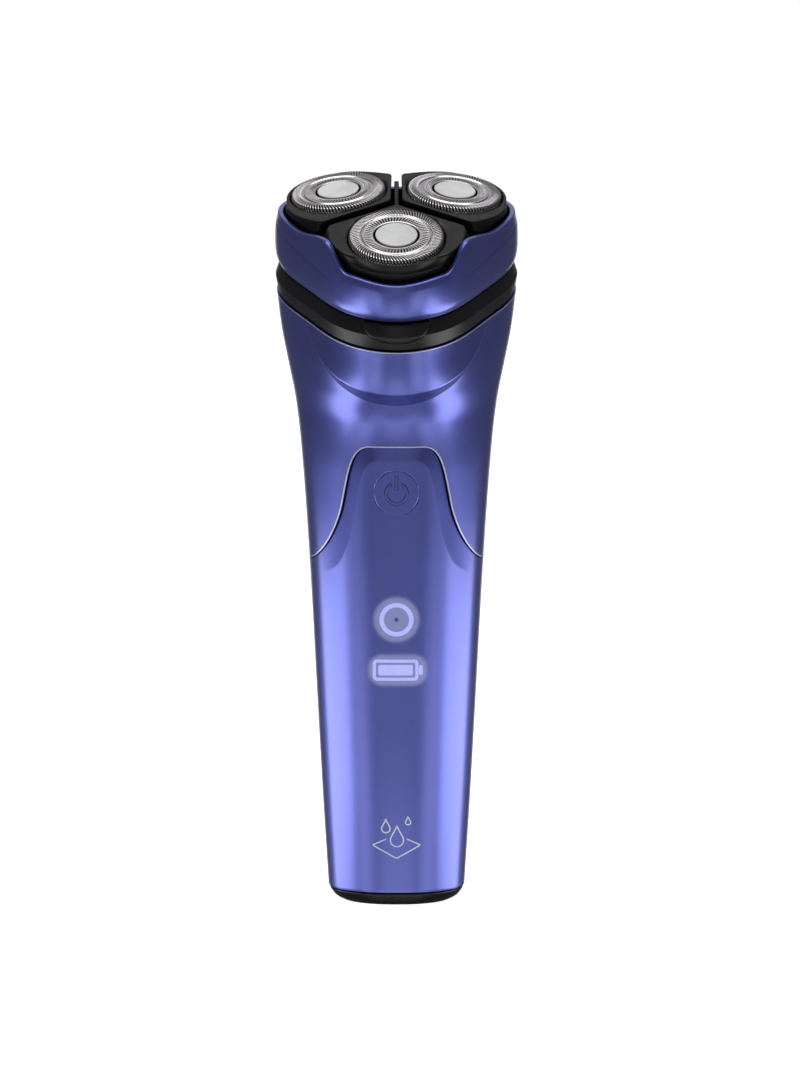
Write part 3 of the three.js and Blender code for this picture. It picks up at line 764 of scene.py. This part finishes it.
def drop_line(cx, cz, size):
    """A water drop: a round bottom and a pointed top."""
    tip = (cx, cz + size * 2.3)

    def flank(side):
        return (cx + side * size * 0.55, cz + size * 1.2), (cx + side * size * 0.15, cz + size * 1.7)

    round_part = arc_line(cx, cz, size, 150, 390, 26)
    shoulder, throat = flank(1)
    right = bezier(round_part[-1], shoulder, throat, tip, 8)
    shoulder, throat = flank(-1)
    left = bezier(tip, throat, shoulder, round_part[0], 8)
    return round_part + right[1:] + left


def patch(name, outline, lift):
    """A thin filled mark inside an outline of (x, z) points, lying on the panel."""
    cx, cz = [sum(p[i] for p in outline) / len(outline) for i in (0, 1)]
    rows = [[front_point(x, z, MARK_ROOT) for x, z in outline]]
    for share in (1.0, 0.85, 0.7, 0.55, 0.4, 0.25, 0.1, 0.02):
        rows.append([front_point(mix(cx, x, share), mix(cz, z, share), lift) for x, z in outline])
    return tidy_mesh(capped(name, rows))


def around_line(line, count):
    """A closed outline with evenly spaced points, so that it follows the curved panel."""
    return spread(line + [line[0]], count + 1)[:-1]


def rounded_mark(cx, width, height, radius, count):
    return around_line(rounded_box(cx, BATTERY_LIGHT_HEIGHT, width, height, radius), count)


def power_marks():
    """The power sign: lines of the key's own colour inside a dark outline of painted shade."""
    z = BUTTON_HEIGHT
    outlines = [
        stroke("power_mark_ring", arc_line(0, z, 2.45, 118, 422, 72), 0.8, 0.02),
        stroke("power_mark_bar", [(0, z + 0.7 + 0.2 * k) for k in range(18)], 0.8, 0.02),
    ]
    faces = [
        stroke("power_mark_ring_face", arc_line(0, z, 2.45, 119.5, 420.5, 72), 0.5, 0.035),
        stroke("power_mark_bar_face", [(0, z + 0.82 + 0.2 * k) for k in range(17)], 0.5, 0.035),
    ]
    return outlines, faces


def lit_marks():
    """The ring and the battery that shine through the panel."""
    return [
        stroke("ring_mark", arc_line(0, RING_LIGHT_HEIGHT, 3.45, 0, 354, 72), 1.05, 0.03, True),
        stroke("battery_mark_case", rounded_mark(-0.2, 9.9, 4.3, 0.55, 120), 0.72, 0.03, True),
        patch("battery_mark_level", rounded_mark(-0.2, 8.0, 2.5, 0.35, 96), 0.03),
        patch("battery_mark_tip", rounded_mark(5.65, 0.9, 2.3, 0.3, 40), 0.03),
    ]


DROPS = [  # name, x, height over the largest drop's middle, radius
    ("drop_mark_large", 0.1, 0, 1.55),
    ("drop_mark_middle", -2.5, 2.8, 1.0),
    ("drop_mark_small", 2.7, 4.3, 0.6),
]
FLOOR_MARK = [(-2.4, 0.3), (-5.6, -1.2), (0, -4.4), (5.6, -1.2), (2.4, 0.3)]
PRINT_WIDTH, PRINT_DEPTH = 0.3, 0.025


def printed_marks():
    """Three drops over an open diamond."""
    marks = []
    for name, x, rise, size in DROPS:
        line = drop_line(x, DROP_MARK_HEIGHT + rise, size)
        marks.append(stroke(name, line, PRINT_WIDTH, PRINT_DEPTH, True))
    diamond = [(x, DROP_MARK_HEIGHT + rise) for x, rise in FLOOR_MARK]
    marks.append(stroke("floor_mark", spread(diamond, 60), PRINT_WIDTH, PRINT_DEPTH))
    return marks


def panel_marks():
    outlines, faces = power_marks()
    centre = patch("ring_mark_centre", arc_line(0, RING_LIGHT_HEIGHT, 0.5, 0, 345, 24), 0.02)
    for marks, body, slot, look in ((outlines, "power_key", "blue_metallic", "sign_shade"),
                                    (faces, "power_key", "blue_metallic", "shell"),
                                    ([centre], "handle", "blue_metallic", "shell"),
                                    (lit_marks(), "handle", "light_guide", "glow"),
                                    (printed_marks(), "handle", "light_guide", "mark")):
        for obj in marks:
            finish_piece(obj, body, slot, look)


# ---- Neck ring and release button ----

def neck_loop(radius_at, height_at, columns=240):
    """A closed loop around the neck's axis from its radius and height at each angle."""
    return [turned(radius_at(angle), angle, height_at(angle)) for angle in turns(columns)]


def level(value):
    """A function of the angle that has the same value all around."""
    return lambda angle: value


RING_PROFILE = [  # inset from the head outline, height
    (0.9, -6.72), (0.55, -6.70), (0.38, -6.55), (0.08, -4.8), (-0.15, -3.32), (-0.18, -3.2),
    (-0.13, -3.06), (0.3, -1.7), (0.76, -0.42), (0.9, -0.16), (1.12, -0.08), (2.1, -0.08),
    (2.3, -0.2), (2.35, -0.5), (2.35, -6.72),
]
RIDGE_HEIGHT = -3.2  # the ring is widest here
NOTCH_BACK, NOTCH_FRONT = -26.3, -36
KEY_BACK = -27.5


def button_outline(margin, raise_by=0.0, count=24):
    """Front outline of the release button as (x, z), from its top right corner down and around."""
    side, foot = 7.75 + margin, -4.8 - margin
    right = [(side, -0.3 + raise_by)]
    right += bezier((side, -1.4), (6.7 + margin, -4.1 - margin), (3.2, foot), (0, foot), count)
    return right + [(0, foot)] + [(-x, z) for x, z in reversed(right)]


def neck_ring():
    rows = [neck_loop(lambda a, i=inset: head_radius(a) - i, level(z)) for inset, z in RING_PROFILE]
    obj = ring_surface("neck_ring_body", rows, NECK)
    outline = button_outline(0.2, 5)
    notch = [[(x, y, z) for x, z in outline] for y in (NOTCH_BACK, NOTCH_FRONT)]
    cut_away(obj, capped("button_notch", notch, NECK))
    soften(obj, 0.12, 2, 40)
    even_normals(obj)
    finish_piece(obj, "handle", "black_gloss", "ring", "neck_ring")
    for name, low, high in (("ring_knuckle_right", HINGE_MIDDLE + GAP, HINGE_OUTER),
                            ("ring_knuckle_left", -HINGE_OUTER, -HINGE_MIDDLE - GAP)):
        knuckle = hinge_knuckle(name, low, high, -1.15, -1.9)
        finish_piece(knuckle, "handle", "black_gloss", "ring")


def barrel(radius, angles):
    """Points (y, z) around the hinge's axis."""
    return [(HINGE_Y + radius * math.cos(t), HINGE_Z + radius * math.sin(t)) for t in angles]


def along_hinge(outline, low, high):
    return [[(x, y, z) for y, z in outline] for x in (low, high)]


def hinge_knuckle(name, low, high, web_height, web_shift):
    """A barrel around the hinge pin and the web that carries it, as one closed outline along X."""
    way = 1 if web_height > 0 else -1
    outline = barrel(HINGE_RADIUS - 0.04, [way * math.radians(mix(200, -20, k / 24)) for k in range(25)])
    inner, half_web = HINGE_Y + web_shift - 1.3, 0.7
    outline += [(inner, web_height + way * half_web), (inner, web_height - way * half_web)]
    obj = capped(name, along_hinge(outline, low + 0.03, high - 0.03), NECK)
    soften(obj, 0.15, 2, 50)
    return obj


KEY_FACE_RINGS = [  # share of the outline's size, how far behind the face
    (0.02, 0.0), (0.25, 0.0), (0.5, 0.01), (0.72, 0.03), (0.86, 0.06), (0.94, 0.11), (0.98, 0.2), (1.0, 0.42),
]


def release_button():
    outline = around_line(button_outline(-0.02), 96)
    rows = []
    for share, drop in KEY_FACE_RINGS:
        places = [(x * share, mix(-2.5, z, share)) for x, z in outline]
        rows.append([(x, button_face(x, z) + drop, z) for x, z in places])
    rows.append([(x, KEY_BACK, z) for x, z in outline])
    obj = capped("release_key_body", rows, NECK)
    soften(obj, 0.06, 2, 60)
    finish_piece(obj, "release_key", "black_satin", "key", "release_button")


def button_face(x, z):
    """Y of the button's face in the neck's frame: the ring's own surface, a little proud of it."""
    if z < RIDGE_HEIGHT:
        inset = mix(-0.75, -0.2, (RIDGE_HEIGHT - z) / 3.6)
    else:
        inset = mix(-0.75, 0.3, (z - RIDGE_HEIGHT) / 3.2)
    angle = math.asin(x / 29.6)
    for _ in range(6):
        angle = math.asin(x / (head_radius(angle) - inset))
    return -(head_radius(angle) - inset - SKIN) * math.cos(angle)


# ---- Head shell ----

def degrees_from_front(angle):
    return abs(math.degrees(math.atan2(math.sin(angle), math.cos(angle))))


def rim_height(angle):
    """The wavy rim: low at the front, a shoulder beside the front disc, then falling to the back."""
    turn = degrees_from_front(angle)
    front = 9.4 + 0.9 * smooth(turn / 22)
    shoulder = 5.75 * smooth((turn - 25) / 16)
    fall = 2.6 * smooth((turn - 41) / 35)
    return front + shoulder - fall - 1.85 * smooth((turn - 85) / 50)


SHELL_SCALES = [(0, 0.978), (0.16, 1.006), (0.45, 1.014), (0.8, 1.005), (1, 0.987)]  # share of the way up
SHELL_WALL = 1.4


def crease_step(angle, share):
    """The shell's side is sunk a little above a faint crease that rises towards the back."""
    turn = degrees_from_front(angle)
    crease = 7.4 + 0.04 * (turn - 42)
    height = GAP + (rim_height(angle) - GAP) * share
    fade = smooth((turn - 30) / 14) * smooth((125 - turn) / 30)
    return 0.13 * fade * smooth((height - crease) / 0.45) * smooth((1 - share) / 0.12)


def paint_inner_shade(obj, material):
    """Gives the faces that look at the shell's axis a second material: black, as painted shade in the gaps
    around the disc frames.
    """
    obj.data.materials.append(material)
    to_neck = NECK.inverted()
    turn = to_neck.to_3x3()
    for polygon in obj.data.polygons:
        outward = to_neck @ (polygon.center / MM)
        outward.z = 0
        normal = turn @ polygon.normal
        if normal.dot(outward.normalized()) < -0.5:
            polygon.material_index = 1


RIM_LIP = [  # inset, drop below the rim: a rounded lip from outside to inside
    (0.0, 0.42), (0.06, 0.24), (0.2, 0.12), (0.42, 0.08), (1.0, 0.08), (1.2, 0.14), (1.3, 0.4),
]
SHELL_SKIN = SKIN + 0.04
SHELL_ROWS = 96


def shell_loop(share, inset_at, height_at):
    scale = curve(SHELL_SCALES, share)
    return neck_loop(lambda angle: head_radius(angle) * scale - inset_at(angle), height_at)


def up_shell(share):
    return lambda angle: GAP + (rim_height(angle) - GAP) * share


def shell_rows():
    """Loops of the shell's section: the foot, up the outside, over the lip and down the inside."""
    rows = [shell_loop(0, level(SHELL_WALL), level(GAP)),
            shell_loop(0, level(SKIN + 0.5), level(GAP)),
            shell_loop(0, level(SKIN + 0.12), level(GAP + 0.06))]
    for k in range(1, SHELL_ROWS - 1):
        share = k / SHELL_ROWS
        rows.append(shell_loop(share, lambda a, s=share: SHELL_SKIN + crease_step(a, s), up_shell(share)))
    for inset, drop in RIM_LIP:
        rows.append(shell_loop(1, level(SKIN + inset), lambda a, d=drop: rim_height(a) - d))
    for share in (0.8, 0.6, 0.4, 0.2):
        rows.append(shell_loop(share, level(SHELL_WALL), up_shell(share)))
    return rows


def head_shell():
    obj = ring_surface("head_shell_body", shell_rows(), NECK)
    room = barrel(HINGE_RADIUS + GAP, turns(40))
    for low, high in ((HINGE_MIDDLE, HINGE_OUTER + GAP), (-HINGE_OUTER - GAP, -HINGE_MIDDLE)):
        cut_away(obj, capped("knuckle_room", along_hinge(room, low, high), NECK))
    even_normals(obj)
    finish_piece(obj, "head", "blue_metallic", "shell", "head_shell")
    # the shell's inner wall is painted black as shade
    paint_inner_shade(obj, LOOKS["petal"])
    knuckle = hinge_knuckle("shell_knuckle", -HINGE_MIDDLE, HINGE_MIDDLE, 1.35, -1.6)
    finish_piece(knuckle, "head", "blue_metallic", "shell")


# ---- Discs ----

PETAL_NOTCH = (3.4, math.radians(13))  # depth and angular width
PETAL_BACK_NOTCH = (5.6, math.radians(25))


def petal_edge(angle, world_angle, share):
    """Radius of a disc frame's outer edge; it is notched where two frames meet at the shell."""
    depth, width = PETAL_BACK_NOTCH if math.cos(world_angle) < -0.5 else PETAL_NOTCH
    notch = depth * math.exp(-(((math.radians(60) - abs(angle)) / width) ** 2))
    return head_radius(angle) - 2.3 + 0.6 * share * share - share * notch


def petal_outline(index, height, share):
    """Closed outline of one disc frame around its own axis."""
    reach = SPINDLE_CIRCLE + math.sin(DISC_TILT) * height
    edge = math.radians(60) - math.asin(PETAL_GAP / 20)
    corner = (0.0, reach - PETAL_GAP / math.sin(math.radians(60)))
    arc = []
    for k in range(121):
        angle = edge * (2 * k / 120 - 1)
        radius = petal_edge(angle, angle + index * math.radians(120), share)
        arc.append((radius * math.sin(angle), reach - radius * math.cos(angle)))
    return [corner] + arc


def reach_along(outline, turn):
    """Distance from the axis to the outline in one direction."""
    dx, dy = math.sin(turn), -math.cos(turn)
    best = 0.0
    for (ax, ay), (bx, by) in zip(outline, outline[1:] + outline[:1]):
        ex, ey = bx - ax, by - ay
        cross = dx * ey - dy * ex
        if abs(cross) < 1e-9:
            continue
        along = (ax * ey - ay * ex) / cross
        share = (ax * dy - ay * dx) / cross
        if along > 0 and -1e-6 <= share <= 1 + 1e-6:
            best = max(best, along)
    return best


def rounded_reach(outline, columns, passes=5):
    """Distances to the outline all around, with its corners worn down."""
    reach = [reach_along(outline, turn) for turn in turns(columns)]
    for _ in range(passes):
        soft = [(reach[k - 1] + 2 * reach[k] + reach[(k + 1) % columns]) / 4 for k in range(columns)]
        reach = [min(a, b) for a, b in zip(soft, reach)]
    return [max(r, FOIL_RADIUS + GAP + 0.34) for r in reach]


PETAL_COLUMNS = 288
PETAL_CROWN = PETAL_TOP - 0.04
PETAL_PROFILE = [  # height, inset towards the neighbours, inset on the sloped outer side
    (PETAL_BOTTOM + 0.05, 0.2, 0.2), (PETAL_BOTTOM + 0.25, 0.05, 0.05), (1.5, 0.05, 0.05),
    (2.8, 0.05, 0.05), (3.0, 0.05, 0.08), (3.15, 0.05, 0.2), (3.3, 0.05, 0.38), (4.1, 0.05, 1.0),
    (4.7, 0.07, 1.45), (4.95, 0.18, 1.62), (5.08, 0.34, 1.72), (5.16, 0.6, 1.85),
]
PETAL_HOLE = FOIL_RADIUS + GAP
PETAL_DIP = [(0.3, 0.03), (0.6, 0.12), (0.85, 0.2)]  # share of the way to the hole, drop


def petal_reach(index):
    """A function from a height to the frame's reach in every direction at that height."""
    levels = [(PETAL_BOTTOM, 0.0), (PETAL_TOP - 2.4, 0.3), (PETAL_TOP, 1.0)]
    reaches = [rounded_reach(petal_outline(index, height, share), PETAL_COLUMNS) for height, share in levels]

    def reach_at(height):
        k = 0 if height < levels[1][0] else 1
        t = (height - levels[k][0]) / (levels[k + 1][0] - levels[k][0])
        return [mix(a, b, t) for a, b in zip(reaches[k], reaches[k + 1])]

    return reach_at


def petal_rows(index):
    """Rows of (radius, height): up the side, over the crown and down the hole."""
    reach_at = petal_reach(index)
    slopes = [smooth((math.cos(turn) - 0.45) / 0.4) for turn in turns(PETAL_COLUMNS)]
    rows = []
    for height, edge, sloped in PETAL_PROFILE:
        row = []
        for r, slope in zip(reach_at(min(height, PETAL_CROWN)), slopes):
            inset = min(mix(edge, sloped, slope), (r - PETAL_HOLE) / 2 - 0.02)
            row.append((r - inset, min(height, PETAL_CROWN - 0.02 * (1 - edge))))
        rows.append(row)
    for share, drop in PETAL_DIP:
        rows.append([(mix(max(PETAL_HOLE + 0.15, r - 2.0), PETAL_HOLE + 0.15, share), PETAL_CROWN - drop)
                     for r in reach_at(PETAL_TOP)])
    for radius, height in ((PETAL_HOLE + 0.06, PETAL_CROWN - 0.24), (PETAL_HOLE, PETAL_CROWN - 0.42),
                           (PETAL_HOLE, PETAL_BOTTOM + 0.05)):
        rows.append([(radius, height)] * PETAL_COLUMNS)
    return rows


def disc_frame_piece(index, side):
    points = [[turned(radius, turn, z) for turn, (radius, z) in zip(turns(PETAL_COLUMNS), row)]
              for row in petal_rows(index)]
    obj = ring_surface(f"disc_frame_{side}_body", points, disc_frame(index))
    even_normals(obj)
    finish_piece(obj, f"tilt_{side}", "black_satin", "petal", f"disc_frame_{side}")


FOIL_PROFILE = [  # radius, height, and which slots open here: i inner, o outer
    (5.32, 5.50, ""), (5.34, 5.74, ""), (5.5, 5.84, ""), (5.75, 5.86, "i"), (6.3, 5.86, "i"),
    (6.9, 5.86, "i"), (7.45, 5.86, ""), (7.75, 5.86, ""), (7.95, 5.82, ""), (8.08, 5.62, ""),
    (8.3, 5.62, ""), (8.42, 5.82, ""), (8.62, 5.86, "o"), (9.2, 5.86, "o"), (9.8, 5.86, "o"),
    (10.3, 5.86, "o"), (10.62, 5.8, "o"), (10.86, 5.6, "o"), (11.0, 5.3, "o"), (11.04, 4.8, ""),
    (11.04, 4.3, ""), (11.04, 1.95, ""),
]
FOIL_COLUMNS = 360
SLOTS = {"i": (6, 3), "o": (4, 2)}  # columns from slot to slot, columns of one slot
FOIL_GROOVE = 8.0  # radius of the groove between the tracks
SLOT_LEAN = 0.05  # radians that the outer slots turn per millimetre outwards
INNER_LEAN = -0.03


def foil(index, side):
    """A thin steel cap with two tracks of slots; the outer slots run over the edge."""
    rows = []
    for radius, height, _ in FOIL_PROFILE:
        lean_by = (SLOT_LEAN if radius > FOIL_GROOVE else INNER_LEAN) * (radius - FOIL_GROOVE)
        rows.append([turned(radius, turn + lean_by, height) for turn in turns(FOIL_COLUMNS)])

    def is_slot(row, column):
        step, width = SLOTS.get(FOIL_PROFILE[row][2], (1, 0))
        return column % step < width

    obj = grid(f"foil_{side}_body", rows, disc_frame(index), round_columns=True, skip=is_slot)
    tidy_mesh(obj, centre=(disc_frame(index) @ Vector((0, 0, 2))))
    thicken(obj, 0.22)
    finish_piece(obj, f"cap_{side}", "foil_steel", "foil", f"foil_{side}")


HUB_PROFILE = [  # radius, height
    (0, 4.55), (4.55, 4.55), (4.72, 5.6), (4.84, 5.82), (4.8, 5.95), (4.62, 6.02), (4.4, 6.0),
    (4.2, 5.97), (3.4, 6.02), (2.2, 6.06), (1.0, 6.08), (0, 6.08),
]


def hub_cover(index, side):
    obj = lathe(f"hub_cover_{side}_body", HUB_PROFILE, disc_frame(index), 96)
    even_normals(obj)
    finish_piece(obj, f"cap_{side}", "white_cap", "hub", f"hub_cover_{side}")


CUTTER_PROFILE = [  # radius, height
    (0, 2.65), (2.65, 2.65), (2.65, 0.2), (2.95, -0.55), (3.85, -0.55), (3.85, 2.95), (9.7, 2.95), (9.7, 3.7),
    (0, 3.85),
]
BLADES = 30
BLADE_INNER, BLADE_OUTER, BLADE_HALF = 7.0, 9.7, 0.17
BLADE_LEAN = [(3.6, -0.5), (5.05, 0.2)]  # height, shift along the circle


def blade(place):
    section = rectangle(BLADE_INNER, BLADE_OUTER, -BLADE_HALF, BLADE_HALF)
    return capped("blade", [[(y + shift, -x, z) for x, y in section] for z, shift in BLADE_LEAN], place)


def cutter(index, side):
    """A hub with a carrier disc and a circle of leaning blades that run under the foil's tracks."""
    place = disc_frame(index)
    body = lathe(f"cutter_{side}_body", CUTTER_PROFILE, place, 60)
    joined(body, *[blade(place @ Matrix.Rotation(turn, 4, "Z")) for turn in turns(BLADES)])
    soften(body, 0.05, 1, 50)
    finish_piece(body, f"blade_{side}", "steel", "blade", f"cutter_{side}")


RIB_HALF = 0.56
RIB_FRONT, RIB_BACK = 2.55, 17.05
RIB_FOOT, RIB_TOP = 6.15, 15.25


def centre_rib():
    corners = rectangle(-RIB_HALF, RIB_HALF, RIB_FRONT, RIB_BACK)
    obj = capped("centre_rib_body", [[(x, y, z) for x, y in corners] for z in (RIB_FOOT, RIB_TOP)], DRIVE)
    soften(obj, 0.25, 3, 50)
    finish_piece(obj, "head", "black_gloss", "petal", "centre_rib")


# ---- Bottom cap ----

CAP_LOOPS = [  # half width, half depth, height
    (12.3, 11.0, 0.02), (12.9, 11.35, 0.12), (14.0, 11.9, 0.62), (14.75, 12.35, 1.15),
    (15.3, 12.7, 1.85), (15.65, 12.92, 2.4), (15.78, 13.0, 2.8), (15.6, 12.85, 2.97),
]


def port_outline():
    """The charging port's opening, with round ends, as (x, y)."""
    radius = PORT_DEPTH / 2
    reach = PORT_WIDTH / 2 - radius
    line = []
    for side, start in ((1, -90), (-1, 90)):
        for k in range(13):
            turn = math.radians(start + 15 * k)
            line.append((side * reach + radius * math.cos(turn), PORT_Y + radius * math.sin(turn)))
    return line


def bottom_cap():
    rows = []
    for width, depth, height in CAP_LOOPS:
        rows.append([turned(oval_radius(angle, width, depth, depth, HANDLE_SQUARENESS), angle, height)
                     for angle in turns(160)])
    obj = capped("bottom_cap_body", rows)
    cut_away(obj, capped("port_room", [[(x, y, z) for x, y in port_outline()] for z in (-1, 4)]))
    soften(obj, 0.15, 2, 50)
    even_normals(obj)
    finish_piece(obj, "handle", "black_gloss", "cap", "bottom_cap")


# ---- Stage, in metres ----

CAMERA_DISTANCE = 1.5
CAMERA_ELEVATION = math.radians(8)
CAMERA_AIM = Vector((0.00082, 0, 0.0867))
CAMERA_LENS = 215.6


FLOOR_HALF = 30


def floor():
    mesh = bpy.data.meshes.new("floor")
    corners = [(x, y, 0) for x, y in rectangle(-FLOOR_HALF, FLOOR_HALF, -FLOOR_HALF, FLOOR_HALF)]
    mesh.from_pydata(corners, [], [(0, 1, 2, 3)])
    obj = bpy.data.objects.new("floor", mesh)
    bpy.context.scene.collection.objects.link(obj)
    material, tree, node = shader("floor_white", (0.9, 0.9, 0.9), 0.9)
    node.inputs["Emission Color"].default_value = (1, 1, 1, 1)
    node.inputs["Emission Strength"].default_value = 1.0
    obj.data.materials.append(material)
    obj.visible_glossy = False
    obj.visible_diffuse = False
    obj.visible_shadow = False


def softbox(name, place, aim, width, height, radiance):
    """A rectangular light with the given brightness of its face, hidden from the camera."""
    light = bpy.data.lights.new(name, "AREA")
    light.shape = "RECTANGLE"
    light.size, light.size_y = width, height
    light.energy = radiance * math.pi * width * height
    obj = bpy.data.objects.new(name, light)
    obj.location = place
    direction = Vector(aim) - Vector(place)
    obj.rotation_euler = direction.to_track_quat("-Z", "Y").to_euler()
    obj.visible_camera = False
    bpy.context.scene.collection.objects.link(obj)


def around(degrees, distance, height):
    """A place at an angle around the object from the front, towards +X."""
    turn = math.radians(degrees)
    return (distance * math.sin(turn), -distance * math.cos(turn), height)


def lights():
    for side, sign in (("right", 1), ("left", -1)):
        softbox(f"side_{side}", (sign * 0.17, -0.03, -0.005), (0, -0.03, -0.005), 0.2, 0.11, 2.6)
        softbox(f"quarter_{side}", around(sign * 40, 0.3, -0.03), (0, 0, -0.03), 0.14, 0.16, 0.7)
        softbox(f"low_{side}", around(sign * 31, 0.3, -0.15), (0, 0, 0.1), 0.12, 0.28, 0.75)
    softbox("low_front", (0, -0.3, -0.17), (0, 0, 0.1), 0.17, 0.2, 1.0)
    softbox("below", (0, -0.13, -0.27), (0, -0.02, 0.12), 0.2, 0.12, 0.4)
    softbox("above", (0, -0.12, 0.85), (0, 0, 0.16), 0.8, 0.55, 2.6)
    softbox("behind", (0, 0.42, 0.65), (0, 0, 0.16), 0.7, 0.7, 0.34)
    softbox("front", (0, -1.3, 0.1), (0, 0, 0.085), 0.8, 1.1, 0.28)
    softbox("back", (0, 1.3, 0.1), (0, 0, 0.085), 0.9, 1.1, 0.7)


def world():
    scene = bpy.context.scene
    scene.world = scene.world or bpy.data.worlds.new("studio")
    scene.world.use_nodes = True
    background = scene.world.node_tree.nodes["Background"]
    background.inputs["Color"].default_value = (0.9, 0.92, 1.0, 1)
    background.inputs["Strength"].default_value = 0.1
    scene.view_settings.view_transform = "Standard"


def camera():
    data = bpy.data.cameras.new("camera")
    data.lens = CAMERA_LENS
    data.sensor_width = 36
    data.clip_end = 100
    obj = bpy.data.objects.new("camera", data)
    away = Vector((0, -math.cos(CAMERA_ELEVATION), math.sin(CAMERA_ELEVATION)))
    obj.location = CAMERA_AIM + away * CAMERA_DISTANCE
    obj.rotation_euler = (-away).to_track_quat("-Z", "Y").to_euler()
    bpy.context.scene.collection.objects.link(obj)
    bpy.context.scene.camera = obj


def build():
    frame_materials()
    rear_housing()
    front_panel()
    power_button()
    panel_marks()
    painted_edge_highlights()
    neck_ring()
    release_button()
    head_shell()
    centre_rib()
    bottom_cap()
    for index, side in enumerate(SIDES):
        disc_frame_piece(index, side)
        foil(index, side)
        hub_cover(index, side)
        cutter(index, side)


build()
camera()
floor()
lights()
world()
